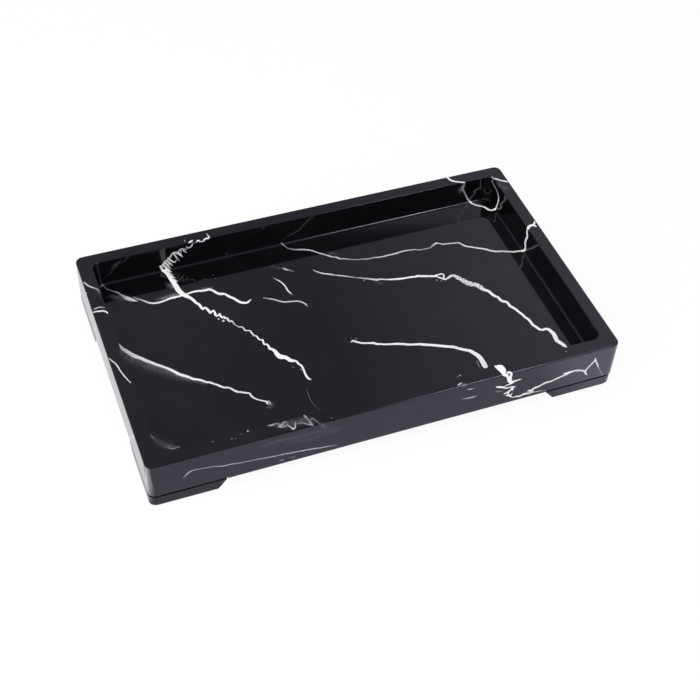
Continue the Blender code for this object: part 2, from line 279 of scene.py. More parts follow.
# The veins by the face that they lie on. Points on the face "seen" are pixels of the photograph's
# 700 x 700 frame, carried on to the casting along the camera's rays. On the other walls they are
# millimetres along the wall and up from the ground, and on the underside millimetres along X and Y.
# The third value is the half width in mm.
VEINS = {
    "seen": (
        Vein("diagonal_hook", (
            (206.4, 233, .15), (207.4, 234.6, .3), (208.6, 236.4, .45), (208.6, 237.8, .6),
            (206.8, 238.4, .5), (204.8, 239.4, .5), (203.6, 240.8, .45), (201.6, 241.6, .35),
            (199.6, 241.4, .4), (198.4, 240.6, .5), (197.2, 241.2, .5), (196.4, 242, .25)), (.6, 1, 1, 1)),
        Vein("diagonal_blob", (
            (188.6, 242.8, .2), (190.2, 241.8, .5), (191.6, 240.9, .5), (192.8, 240.2, .2))),
        Vein("diagonal_thread", (
            (196.6, 242.2, .25), (194.6, 243, .25), (192.8, 243.2, .25), (192.2, 244.4, .35),
            (191.6, 246, .4), (190.4, 247, .4), (188.6, 247.6, .4), (186.8, 247.2, .35), (186, 246.4, .2)),
            (.55, .45, .6, .75, .85, .85, .8, .7, .4)),
        Vein("coil_first", (
            (188, 248.2, .2), (186, 249.2, .35), (184, 249.2, .35), (182, 248.8, .35), (180.4, 249.6, .4),
            (179, 250.8, .4), (178.2, 252.4, .35)), (.5, .7, .75, .7, .75)),
        Vein("coil_tooth_1", ((182.6, 249.6, .42), (184.4, 251, .48), (186.2, 252.6, .3)), (.7, .7, .6)),
        Vein("coil_tooth_2", ((180.4, 250.4, .36), (181, 252, .36), (180.4, 253.2, .3)), (.6,)),
        Vein("coil_tooth_3", (
            (176.4, 252.6, .54), (178.6, 253.6, .6), (180.6, 255, .54), (182.6, 257, .24)),
            (.85, .98, .9, .6)),
        Vein("coil_spine", (
            (177.8, 252.4, .48), (175.4, 252.6, .54), (173.2, 253, .6), (171.6, 254.6, .54),
            (170.4, 256.8, .54), (169, 258.6, .54), (167.4, 260.2, .54), (165.6, 261.4, .6),
            (164.4, 262.8, .6), (163, 264.8, .66), (161.8, 266.6, .66)), (.8, .8, .7, .72, .75, .8, .85,
            .85)),
        Vein("coil_tooth_4", (
            (174, 254, .42), (175.8, 256.6, .42), (177.4, 258.6, .42), (179.4, 260.8, .18)),
            (.8, .8, .75, .5)),
        Vein("coil_tooth_5", (
            (168, 257.6, .42), (169.6, 259.4, .54), (171.6, 261, .54), (173.6, 262, .54),
            (175.4, 261.8, .48), (176, 260.6, .3)), (.7, .85, .85, .75, .6)),
        Vein("coil_tooth_6", (
            (166.8, 260.4, .48), (168.8, 262.4, .6), (170.6, 264, .54), (172.8, 265.8, .24)),
            (.85, .9, .8, .55)),
        Vein("coil_tooth_7", (
            (165, 262.6, .48), (167, 264.6, .6), (168.8, 266.4, .54), (170.6, 268.6, .24)),
            (.9, .9, .8, .55)),
        Vein("coil_tooth_8", (
            (163.8, 265.6, .54), (166, 267.6, .6), (168.2, 269.6, .6), (171, 271.6, .24)),
            (.9, .92, .88, .55)),
        Vein("coil_tooth_9", (
            (165.4, 269.6, .48), (168.6, 271.6, .48), (171.8, 272, .18)), (.85, .85, .72)),
        Vein("coil_tooth_10", (
            (168, 272.6, .48), (170.8, 274.2, .48), (173.4, 275.4, .18)), (.85, .8, .72)),
        Vein("coil_tooth_11", ((170.4, 275.8, .54), (173, 277, .48), (175.6, 277.8, .18)), (.9, .85, .72)),
        Vein("coil_tooth_12", ((172.6, 279, .54), (174.8, 280.2, .48), (177.2, 281.4, .24)), (.9,)),
        Vein("diagonal", (
            (160, 265.8, .34), (161.4, 268.6, .57), (163.6, 271, .69), (166.4, 273.2, .8),
            (168.8, 276.2, .92), (171.4, 279.6, 1.15), (174, 283, 1.28), (176.4, 286.8, 1.44),
            (178.6, 290.4, 1.44), (181.8, 293.4, 1.39), (185.6, 295.8, 1.17), (189.8, 297.6, .98),
            (193.2, 300, .85), (196.4, 303, .72), (199, 304.4, .72), (200.8, 306.8, .78), (202.8, 309, .65),
            (204.8, 307.6, .59), (207, 308.8, .65), (209, 311.2, .72), (210.6, 313.2, .45),
            (211.8, 311.6, .52), (213.2, 310.6, .52), (214.8, 312.4, .59), (215.6, 315.2, .59),
            (217, 316.2, .39), (218.4, 315, .45), (219.6, 313.8, .45), (220.6, 316, .59), (222, 317.4, .52),
            (224.2, 316.4, .39), (225, 318.4, .45), (226.6, 318, .52), (228.4, 320.2, .59),
            (230.2, 321.6, .45), (231.8, 320.8, .45), (233.2, 322.6, .39), (234.8, 324.6, .29),
            (237, 325.8, .23), (239.4, 327, .34), (241.6, 326.8, .34), (243.6, 328.4, .4),
            (245.4, 330.6, .4), (247.6, 330.6, .4), (249.8, 330.6, .4), (251.6, 332.8, .4),
            (253.8, 335.2, .4), (256.6, 336.2, .4), (258.4, 338.6, .46), (260.2, 339.8, .4),
            (262.2, 339.8, .46), (263.2, 341.8, .46), (264.4, 344.4, .46), (266.6, 344.2, .46),
            (268.4, 346, .57), (269.8, 348.4, .75), (272.4, 349.4, .8), (275.2, 351.4, .98),
            (277.6, 354.6, 1.26), (280.6, 356.8, 1.44), (284, 357, 1.26), (287.4, 358.4, 1.09),
            (290.6, 360.4, 1.09), (294, 360.8, .8), (296.6, 361.4, .57), (298.6, 363.8, .63),
            (300.8, 365.2, .57), (302.6, 367.4, .52), (303.8, 370.2, .52), (305, 373.4, .52),
            (306.8, 376.6, .57), (309, 378.8, .52), (310.8, 379.6, .29)), (1, 1, 1, 1, 1, .75, .9, 1, 1,
            .96, 1), (.3, .3, .35, .35, .35, .3, .3)),
        Vein("wave_rim", (
            (84.2, 282.4, .44), (87, 284.8, .44), (90.6, 286.8, .44), (93.4, 287.8, .39), (96, 288.6, .35),
            (98.2, 290, .44), (99.4, 292.2, .35)), (.72, .72, .74, .62, .42, .12)),
        Vein("wave_start", (
            (100.8, 286.8, .3), (102.2, 285.2, .4), (103.8, 285.8, .35), (105, 287.6, .3),
            (107.6, 289.4, .3), (110, 290, .35), (112.4, 291.2, .3), (115, 291.8, .45), (118, 292.8, .5),
            (120.6, 294.6, .4)), (.32, .4, .34, .25, .36, .45, .34, .48, .55, .6)),
        Vein("wave_blob", (
            (119.6, 294, .4), (122.4, 295.6, .69), (125.6, 297.2, .98), (129, 298.4, .86),
            (132.4, 299.6, .69), (135, 300.6, .52), (137.6, 301.4, .23)), (.5, .58, .66, .84, .88, .84,
            .55), (.5,)),
        Vein("wave_blob_edge", ((125, 298.8, .4), (129.4, 300.4, .4), (133.4, 301.4, .15)), (.65,), (.4,)),
        Vein("wave", (
            (133, 296.8, .25), (136.4, 298.4, .44), (140.4, 299.6, .44), (144.6, 301.2, .5),
            (148.6, 302.6, .56), (152.6, 303.2, .62), (157, 302.9, .62), (161.6, 301.8, .56),
            (166.4, 300, .56), (171, 298.2, .69), (174.6, 297.4, .75), (177.6, 296.6, .69),
            (181, 295.8, .56), (185.6, 294.6, .5), (189.6, 293, .56), (193.6, 291.8, .62),
            (197.6, 291, .69), (202, 290.8, .69), (205.6, 290.2, .75), (208.6, 289.4, .81),
            (211.6, 290, .75), (215, 291.8, .75), (218.4, 293.6, .81), (221.4, 293.9, .88),
            (224.4, 293.9, .69), (227.6, 295.6, .72), (230.6, 297.2, .75), (233.4, 298.2, .75),
            (236.6, 300.2, .75), (240.4, 302.2, .81), (243.6, 302.8, .81), (247.4, 302.4, .62),
            (249.2, 301, .5), (251, 299.6, .25)), (.4, .75, .9, 1, 1, 1, 1, .95, .95, 1, 1, 1, 1, 1)),
        Vein("smoky", (
            (119.2, 343.8, .17), (120.6, 346.4, .57), (122.4, 348.4, .86), (125.6, 350.6, .98),
            (129.6, 353.2, 1.09), (133.6, 355.6, 1.21), (137.6, 357.2, 1.15), (141.6, 358.6, .98),
            (145.6, 360.4, .92), (150, 362, .8), (154.6, 363.8, .75), (159.6, 365.6, .75),
            (164.4, 367.2, .69), (169, 369, .72), (173.6, 371.2, .79), (178.4, 373.8, .82),
            (183, 375.4, .82), (188, 376.8, .75), (192, 378.6, .72), (196.6, 379.4, .66), (199, 379.7, .66),
            (203, 380.9, .63), (207, 382.2, .6), (209, 382.2, .6), (212.6, 383.4, .6), (216, 384.4, .55),
            (220, 386, .6), (223.6, 387.4, .55), (228, 387.6, .55), (231.6, 388.8, .55),
            (234.6, 390.6, .58), (237, 391.6, .63), (240, 392, .55), (244, 392.6, .55), (247.6, 393, .48),
            (249.4, 393.4, .46), (251.4, 396, .48), (254.4, 398.2, .46), (258, 399.6, .42),
            (262, 400.6, .42), (265.6, 401.4, .46), (267.4, 402.2, .52)), (.85, .9, .93, .94, .95, .92, .9,
            .88, .86, .87, .88, .9), (.5, .5, .4, .4, .5)),
        Vein("smoky_curl", ((266.6, 401.6, .45), (267.4, 403.4, .42), (268.4, 405, .2)), (1, .9, .5)),
        Vein("smoky_cap", (
            (268.8, 400.8, .35), (270.1, 402.6, .5), (270.4, 404.4, .45)), (.5, .55, .5), (.6,)),
        Vein("left_rim_echo", (
            (93.8, 309.2, .25), (95.6, 308.6, .35), (98.6, 307.4, .4), (102, 307.2, .35),
            (105, 307.8, .25)), (.5, .7, .65, .6, .3)),
        Vein("left_rim_upper", (
            (93.4, 312.2, .35), (96, 311.6, .5), (99.4, 311.2, .5), (102.6, 310.9, .5), (105.6, 311.6, .45),
            (107.6, 312.8, .4), (108.6, 314, .2)), (.82, .85, .92, .9)),
        Vein("left_rim_lower", (
            (109, 358.2, .26), (111.6, 360.6, .33), (114.6, 362.8, .33), (117.4, 366, .33),
            (120, 370.4, .3), (123, 374.4, .3), (126.6, 378.6, .3), (130.6, 382.8, .21)),
            (.7, .84, .86, .85)),
        Vein("glint", (
            (281.6, 267.8, .11), (283.4, 268.4, .39), (285.4, 269.2, .61), (287.4, 269.8, .5),
            (290, 270.4, .39), (292.4, 271, .33), (294.6, 271.6, .17)), (.25, .7, .82, .6, .45, .35, .2),
            (.1,)),
        Vein("hook", (
            (272.4, 277.2, .1), (274.6, 278.6, .31), (277.4, 280, .39), (280, 281.4, .39),
            (282.6, 283.4, .41), (284.8, 285.8, .41), (286.4, 288.2, .41), (288, 290.8, .42),
            (290.2, 292.8, .42), (292.6, 295, .2)), (.25, .5, .72, .85, .9, .9, .9, .88, .85, .4), (.1,)),
        Vein("ripple", (
            (263.8, 297.8, .45), (266, 298.2, .32), (269.4, 298.8, .41), (273.6, 299.4, .38),
            (277, 300.4, .41), (280.6, 301.4, .45), (284.4, 301.9, .49), (288.6, 301.7, .49),
            (293, 301.3, .43), (297, 301.1, .45), (300.4, 301.7, .45), (303.6, 302.9, .45),
            (305.8, 304.4, .45), (307.8, 306.4, .27)), (.5, .52, .7, .75, .8, .76, .73, .72, .72, .74, .74,
            .72, .64, .4), (.1,)),
        Vein("upper", (
            (280.8, 243.2, .34), (283.2, 244.6, .47), (285.4, 246.6, .43), (287.8, 248.2, .36),
            (291, 249, .43), (295, 249.6, .47), (300, 249.6, .56), (306, 249.7, .54), (311, 250.4, .47),
            (314, 251.2, .39), (317.6, 252.6, .45), (322, 253.8, .45), (326, 255, .4), (329.6, 256, .45),
            (332.4, 257, .34), (336, 257.2, .39), (338, 258, .54), (340.6, 258.8, .45), (344.4, 258.8, .47),
            (348.6, 259.2, .39), (353, 259.5, .39), (359, 259.5, .47), (362, 259.1, .43),
            (365.4, 259.2, .54), (369, 258.6, .43), (374, 257.6, .45), (379, 257.2, .45),
            (383.6, 256.4, .45), (387.4, 255.4, .47), (391, 254.6, .45), (396, 253.4, .52),
            (401, 251.8, .52), (406, 250.6, .47), (411, 250, .45), (415.6, 249.6, .43), (419.6, 250, .43),
            (423.6, 249.2, .4), (427.6, 248.4, .43), (430.8, 247.4, .4), (432.4, 245.8, .5),
            (434, 244.6, .5), (436.4, 243.2, .54), (438, 243.2, .4), (441, 243.8, .39), (443, 244.2, .45),
            (446, 243.8, .45), (452, 243.4, .45), (456.6, 242.8, .52), (459, 242.9, .52), (462, 244.4, .5),
            (466, 246.2, .52), (470, 246.8, .5), (476, 247.8, .52), (484, 248.9, .54), (490, 250.4, .62),
            (495, 251.4, .62), (502, 251.3, .6), (508, 251.5, .6), (514, 251.8, .6), (518, 251.2, .58),
            (522, 250.9, .62), (524.4, 250.2, .75), (525.4, 246.6, .9), (525.2, 243, .9), (526, 239.6, .9),
            (527.2, 236.6, .95), (527, 232.6, .86), (527.6, 229, .75), (529.4, 226.4, .83),
            (531.8, 225.2, .77), (534, 225.4, .71), (536, 226.4, .44)), (.4, .32, .66, .74, .75, .82, .64,
            .46, .58, .74, .8, .68, .52, .56, .9, .82, .7, .88, .88, .74, .9, 1, 1, 1, 1)),
        Vein("upper_spike", ((533, 225, .6), (534.4, 223.4, .54), (534.6, 221.4, .36)), (1,), (.2,), True),
        Vein("loop_rim_left", (
            (447.4, 177.4, .61), (449.6, 179.4, .64), (452.4, 180.8, .64), (456, 181.6, .55),
            (460, 182, .5), (464.8, 182.5, .39)), (.97,)),
        Vein("loop", (
            (464.4, 183.4, .34), (463.4, 186.6, .5), (462.6, 189.2, .56), (464, 191.8, .47),
            (465.6, 194.8, .45), (467.2, 198, .45), (469, 200.8, .54), (471.4, 203, .62),
            (474.6, 204.6, .54), (478, 205.6, .5), (482, 206.4, .5), (485, 207.4, .56), (487.4, 209, .67),
            (490.4, 210.2, .67), (493.4, 209.8, .67), (495.8, 208.4, .65), (496.8, 205.8, .62),
            (497.8, 202.6, .67), (498.6, 199.4, .69), (498.4, 196, .62), (497.6, 192.8, .54),
            (496, 189, .45), (494.2, 185.4, .4), (492.6, 182.2, .34), (492, 180.2, .34)), (.6, .56, .58,
            .76, 1, 1, 1, 1, .95, .86, .6, .5, .35), (.2,)),
        Vein("loop_rim_right", (
            (494.6, 178.6, .55), (497, 179.2, .64), (500, 180.2, .55), (503.6, 181, .61),
            (507, 181.6, .55)), (.82, .86, 1)),
        Vein("loop_rim_blob", ((492.2, 177, .6), (493.4, 178.8, .4)), (.5,), (.5,)),
        Vein("ladder", (
            (312.4, 269.2, .13), (314.2, 270.6, .33), (316.8, 271.6, .42), (319.4, 272.6, .44),
            (323, 273.4, .44), (327.4, 273.9, .42), (332, 274.6, .44), (335, 275, .31), (338.6, 275.4, .4),
            (342.6, 275.9, .44), (348, 276.5, .44), (351.4, 277, .4), (355, 277.5, .31),
            (359.4, 277.8, .39), (364, 278.4, .53), (368, 278.7, .53), (372.6, 279.3, .66),
            (377, 279.8, .68), (380.4, 279.1, .53), (384, 279.4, .44), (388.6, 279.5, .5),
            (393.6, 279.3, .65), (398.6, 278.9, .72), (402.6, 278.5, .63), (407.6, 277.6, .59),
            (411.6, 277, .63), (414.6, 276.8, .65), (417.4, 276.1, .78), (421, 276.1, .76),
            (425.6, 276.1, .76), (429, 276.2, .65), (433, 276.1, .76), (437, 276.6, .5), (440, 277.8, .46),
            (442.6, 278.6, .53), (445, 279.4, .53), (447.4, 278.4, .53), (449.6, 276.8, .7),
            (452, 275.6, .81), (455, 275.9, .99), (457.6, 277.4, 1.27), (461, 279.2, 1.31), (464, 281, 1.5),
            (467, 282.6, 1.69), (470.4, 283.8, 1.75), (474, 284.4, 1.56), (477.6, 285.4, 1.56),
            (480.6, 287.4, 1.44), (483.4, 289.4, 1.19), (486.4, 290.4, .96), (489, 291.4, .86),
            (491.4, 293.6, .86), (494.4, 295.8, .84), (498, 297.4, .78), (500.4, 299.8, .78),
            (503, 301.4, .84), (506.4, 301.9, .78), (508.4, 303.8, .72), (510.4, 306.2, .84),
            (513, 307.6, .78), (516.4, 309.8, .72), (519.4, 312.4, .72), (522.4, 314.4, .72),
            (524.8, 317, .7), (528.4, 319.4, .77), (530.6, 321.8, .72), (533, 325, .78), (536, 326.8, .82),
            (539.4, 329.2, .78), (542.4, 329.9, .72), (545.4, 328.9, .78), (548.4, 329.4, .92),
            (551.4, 331.6, 1.06), (554, 334.4, 1.21), (555.6, 337.6, 1.21), (557.2, 340.8, 1.17),
            (559.8, 342.4, 1.17), (562.4, 344.2, 1.12), (564.8, 346, .9), (566.4, 347, .36)), (.5, .88, .8,
            .58, .72, .88, 1, 1, .95, .95, .97, .97, .97, .97, .95, 1, 1, 1, 1, 1, 1), (.1, .15, .25, .4,
            .3, .4, .5, .8, 1, .9, .4, .25, .2, .2, .2, .2)),
        Vein("ladder_ring", (
            (436, 275.2, .5), (439.2, 274.4, .42), (441.8, 273.9, .42), (443.6, 274.8, .36),
            (443.8, 276.8, .4), (443.4, 278.6, .35)), (1, 1, 1, .95), (.2,)),
        Vein("arc", (
            (351.4, 341.8, .38), (353, 340.8, .56), (355.6, 341.6, .6), (358.6, 342.4, .62),
            (361.6, 343, .6), (366, 343.1, .58), (370, 343.1, .62), (373.4, 343, .75), (376.6, 343.9, .69),
            (380, 344, .62), (384, 344.3, .62), (390, 344.2, .62), (396, 343.9, .72), (400, 343.9, .75),
            (404, 344.1, .75), (408, 344.5, .72), (414, 344.5, .7), (420, 344.2, .81), (424, 344.6, .88),
            (428, 344.8, .81), (434, 345.2, .88), (440, 345.8, .88), (444, 346.2, .9), (449, 346.6, .88),
            (454, 347, .88), (458, 348.2, .9), (462.6, 349.3, .9), (467, 350.2, .9), (470.4, 351, 1.03),
            (474, 353.2, 1.18), (478, 355.6, 1.29), (481, 359, 1.29), (483, 362.4, 1.34),
            (484.6, 365.2, 1.4), (485.2, 366.4, 1.29)), (.85, .93, .95, .95, .93, .95, .98), (.2, .25, .35,
            .45, .5)),
        Vein("arc_echo", ((476.8, 361, .3), (478.2, 364, .3), (479.4, 367.2, .25)), (.3,), (.5,)),
        Vein("wedge", (
            (495.2, 366.2, .5), (497.6, 367.4, 1), (500, 369, 1.35), (502.4, 371.4, 1.25),
            (503.8, 373.6, 1), (505.6, 375.4, .85)), (1,), (.4,), True),
        Vein("wedge_top", (
            (498, 366, .75), (501.6, 366.4, .9), (503.6, 368.8, .95), (504.8, 371, .75)), (1,), (.4,),
            True),
        Vein("wedge_ring", (
            (507.2, 372.8, .5), (509.2, 372, .5), (511, 372.8, .5), (511.6, 374.6, .55),
            (510.8, 376.6, .7)), (1,)),
        Vein("wedge_neck", (
            (506.4, 374.6, .5), (507.6, 376.8, .65), (508.6, 378.6, .85), (509.4, 380.6, 1),
            (509.6, 381.8, .75)), (1,), (.25,), True),
        Vein("wedge_neck_right", (
            (510.2, 376.6, .75), (510.4, 379, .85), (510.4, 381, .85)), (1,), (.2,), True),
        Vein("zigzag_right", (
            (510.6, 382.2, .72), (513.6, 381.4, .66), (516.4, 380.6, .55), (519.6, 379.6, .39),
            (521.4, 379.2, .13)), (1,), (.15,), True),
        Vein("zigzag_thread", (
            (514.4, 381.6, .46), (512, 383.2, .48), (509, 384.4, .44), (506, 385.6, .34),
            (504.4, 386.2, .17)), (1, 1, .9, .7), (.15,), True),
        Vein("zigzag_bar", (
            (496.4, 387, .39), (499, 387, .64), (502, 387.2, .64), (505, 387.8, .55), (507, 388.2, .44),
            (509, 387.4, .44), (511.6, 386.8, .46), (514.6, 386.8, .42), (516, 386.2, .17)), (.95, 1, 1, 1,
            .9, .9, .95, .95, .8), (.15,), True),
        Vein("zigzag_down", (
            (513.6, 387.4, .44), (512, 388.8, .66), (510, 390.6, .64), (507.6, 392.2, .64),
            (505.6, 393.4, .53), (504, 394, .28)), (1,), (.2,), True),
        Vein("zigzag_notch", ((511.6, 388.6, .6), (513, 390.2, .25)), (1,), (.15,), True),
        Vein("zigzag_join", ((508.2, 392.6, .5), (508.4, 394.8, .5)), (1,), (.2,), True),
        Vein("zigzag_low", (
            (506.4, 395.4, .4), (508.6, 395.4, .58), (510.6, 396.2, .5), (512, 397.4, .2)), (1,), (.15,),
            True),
        Vein("zigzag_tip", (
            (510, 395.4, .45), (511.4, 394.4, .35), (512.4, 393.2, .15)), (1,), (.1,), True),
        Vein("zigzag_dash", ((496.2, 391.8, .35), (499, 391.4, .3), (502.8, 390.8, .2)), (.4,)),
        Vein("low_tail", (
            (512.4, 397.6, .36), (514.4, 396.8, .48), (517, 396.4, .48), (520, 396, .48),
            (522.6, 394.6, .62), (525.6, 393.6, .67), (529, 393.2, .62), (532, 392.4, .42),
            (536, 391.6, .36), (540, 391, .34), (544, 390.4, .26), (548, 389.6, .18)), (.68, .8, .95, 1, 1,
            1, .9, .8, .65, .55, .4, .3)),
        Vein("tail_blob", ((527.4, 391, .3), (529.4, 390.6, .58), (531, 391.2, .52), (533, 391.4, .3))),
        Vein("tail", (
            (531.4, 390.8, .52), (533, 389, .65), (535, 387.8, .73), (538, 386.8, .62), (541, 385.2, .6),
            (544, 383.6, .62), (546.4, 382.4, .62), (549, 382, .52), (552.4, 380.6, .52),
            (555.6, 379.2, .52), (558.6, 377.8, .55), (561, 376.7, .55), (564, 375.4, .59), (567, 374, .75),
            (569.6, 372.4, .91), (572, 371.6, .65), (575, 370.8, .55), (578.6, 370.4, .55),
            (582, 370.6, .52), (584.6, 371.2, .62), (585.4, 373, .62), (586.8, 374.6, .39)), (1, .9, .88,
            .95, .9, .92, .85, .82)),
        Vein("tail_feather", ((561.8, 374.2, .15), (565.6, 373.2, .42), (568.6, 372.4, .58)), (.8, .95, 1)),
        Vein("peak", (
            (585.4, 371, .5), (587.2, 368.6, .45), (589.6, 366, .45), (592.4, 363.2, .47),
            (594.4, 361.2, .47), (595.4, 359.6, .43), (595.6, 357.6, .15)), (.95,), (.15,)),
        Vein("peak_fall", (
            (595.2, 359.6, .48), (596.4, 362, .46), (597.6, 365, .46), (598.4, 367.4, .44),
            (599.2, 369, .34)), (.82, .8, .75, .6, .35), (.15,)),
        Vein("peak_fade", ((599, 368.4, .3), (600.6, 371.4, .3), (602.2, 374.6, .45)), (.28, .22, .35)),
        Vein("front_line", (
            (182.8, 478.4, .12), (184.6, 476.8, .3), (187, 474.2, .42), (189.6, 472, .38),
            (192.4, 470.6, .36), (197, 469.4, .32), (203, 468.4, .3), (209, 467.4, .34), (215, 466.4, .35),
            (221, 466.2, .36), (225, 465.6, .36), (230, 464.4, .35), (237, 463.4, .3), (244, 462.2, .3),
            (251, 460.8, .32), (257, 459.4, .34), (264, 458.2, .34), (274.6, 456.2, .32), (285, 454, .32),
            (295.7, 452, .32), (304, 450.4, .35), (312, 449, .4), (320, 447.8, .4), (328, 446.4, .4),
            (337, 445.2, .3)), (.2, .4, .52, .62, .5, .42, .4, .42, .55, .52, .52, .47, .42, .52, .58, .62,
            .66, .64, .58, .52, .25), (.15,)),
        Vein("floor_corner_start", (
            (150.2, 434.2, .2), (152.4, 437, .42), (155, 439.4, .25)), (.35, .42, .2)),
        Vein("floor_corner_end", (
            (165, 446.8, .2), (169.6, 448.2, .35), (173.6, 448.6, .4), (175.8, 447.6, .3),
            (180, 446.8, .25)), (.2, .38, .45, .4, .35)),
        Vein("cloud_start", (
            (267.2, 425.4, .15), (270.4, 425.4, .42), (272.4, 424.8, .52), (274.6, 423.8, .4),
            (277.6, 423.6, .4), (280, 424.6, .35)), (.36, .56, .6, .45, .36, .34), (.5,)),
        Vein("cloud_first", (
            (279, 426.6, .5), (281.6, 425, .55), (283.4, 423, .5), (285, 421.8, .4), (287.4, 422.8, .3)),
            (.6, .53, .46, .4, .28), (.7,)),
        Vein("cloud_second", (
            (281, 427.2, .4), (284.4, 426.4, .45), (287.4, 424.6, .35)), (.46, .46, .4), (.7,)),
        Vein("cloud_drop", (
            (287.4, 425.2, .38), (290, 426.6, .42), (291.8, 428, .48), (293.6, 429, .5), (295, 427.6, .42),
            (295.2, 424.6, .4), (295.8, 421.6, .25)), (.48, .54, .62, .68, .6, .54, .4), (.5,)),
        Vein("cloud_bridge", (
            (296.6, 423.8, .35), (300.4, 423.2, .4), (304, 423, .4), (306.4, 423.8, .4), (309, 424.6, .42),
            (312.2, 424.6, .45)), (.28, .34, .38, .38, .45, .52), (.6,)),
        Vein("cloud_cross", (
            (304.2, 415.4, .42), (305.8, 417.2, .55), (307.6, 419, .38), (309.4, 421.2, .38),
            (311, 423.2, .42), (312.8, 425.2, .35)), (.46, .5, .38, .45, .5, .45), (.4,)),
        Vein("cloud_arch", (
            (311, 419.2, .35), (312.6, 418.4, .35), (315.4, 420, .3), (317.4, 421.8, .3),
            (319.4, 423.8, .2)), (.32, .3, .27, .26, .18), (.5,)),
        Vein("dash_bright", ((458, 385, .35), (460, 383.9, .45), (461.8, 382.8, .3)), (.65, .8, .55)),
        Vein("dash_middle", ((467.4, 389.4, .25), (470.2, 389.2, .42), (474.4, 388.2, .3)), (.5, .65, .25)),
        Vein("dash_low", (
            (461.4, 399.4, .2), (466, 398.4, .42), (470, 397.8, .5), (473.6, 396.9, .48),
            (477.8, 395.2, .2)), (.2, .5, .6, .7, .2)),
        Vein("dash_under", ((279.6, 460.6, .25), (281.8, 460.1, .45), (284, 460.2, .25)), (.25, .45, .25)),
        Vein("dash_trail", ((288.4, 457.8, .2), (292, 457.2, .35), (295.8, 457.2, .2)), (.15, .25, .15)),
        Vein("curl", (
            (307, 388.4, .15), (307.6, 392.6, .2), (309.2, 396.8, .2), (311.6, 401.4, .2),
            (314.6, 405.4, .2), (320.7, 409.8, .15)), (.12, .2, .22, .2, .1)),
    ),
    "back": (
        Vein("back_ridge", (
            (118, 26, .3), (111, 23.4, .5), (104, 22.5, .6), (98, 24.4, .5), (92, 24, .55), (83, 20, .7),
            (74, 17.5, .8), (66, 17.4, .6), (58, 16, .5), (49, 18.6, .4), (40, 19.5, .4), (30, 17.6, .3),
            (22, 18, .15)), (.9, 1, .95, .85, .6), (.3, .5, .4)),
        Vein("back_fall", (
            (-78, 31.4, .5), (-80.6, 28.6, .5), (-82, 26, .6), (-86.4, 24.6, .5), (-90, 22.5, .45),
            (-91, 19.6, .55), (-93, 17, .7), (-97.6, 14.8, .5), (-101, 12, .45), (-104, 9.4, .3)),
            (1, .95, .9), (.4,)),
        Vein("back_thread", (
            (-60, 13, .15), (-51, 15.4, .3), (-42, 16, .3), (-33, 14.6, .3), (-24, 14.4, .3),
            (-15, 17.6, .35), (-6, 20, .35), (2, 21.4, .3), (10, 23.6, .3), (20, 25.8, .25), (30, 27, .15)),
            (.6, .85, .8, .85, .6), (.2,)),
    ),
    "right": (
        Vein("right_drop", (
            (31.8, 31.4, .6), (33, 27, .55), (30, 24.4, .5), (29, 22, .5), (28.4, 18.8, .45), (26, 16, .45),
            (22, 14.6, .4), (19, 12, .35), (12, 10.4, .15)), (1, .95, .8), (.3,)),
        Vein("right_sweep", (
            (-66, 20, .2), (-58, 18.2, .35), (-50, 17.6, .45), (-42, 19.6, .55), (-34, 20.8, .6),
            (-26, 23.6, .5), (-18, 25.6, .4), (-11, 26, .3), (-4, 25, .15)), (.7, .95, .95, .6), (.35,)),
    ),
    "left": (
        Vein("left_drop", (
            (-53, 31.4, .4), (-50, 26, .45), (-47.6, 23, .45), (-44, 21, .5), (-42.4, 18, .45),
            (-41, 15, .4), (-37.4, 12.4, .35), (-34, 10, .2)), (.4, .6, .5), (.3,)),
        Vein("left_sweep", (
            (8, 12, .2), (14, 13, .35), (20, 15.6, .48), (25, 19.4, .45), (30, 21.6, .5), (35, 22.6, .45),
            (40, 24.6, .45), (44, 28, .45), (47.6, 31.4, .5)), (.7, .95, .95), (.3,)),
    ),
    "underside": (
        Vein("under_long", (
            (-70, -22, .2), (-54, -14, .6), (-38, -13, .8), (-24, -4, .6), (-8, -2, .5), (10, 8, .7),
            (26, 10, .9), (40, 18, .6), (56, 22, .5), (70, 32, .2)), (.8, 1, 1, .9, .8), (.4, .7, .3)),
        Vein("under_branch", (
            (10, 8, .5), (20, -2, .5), (34, -8, .4), (46, -20, .35), (60, -26, .15)), (.9, .8, .6), (.3,)),
    ),
}

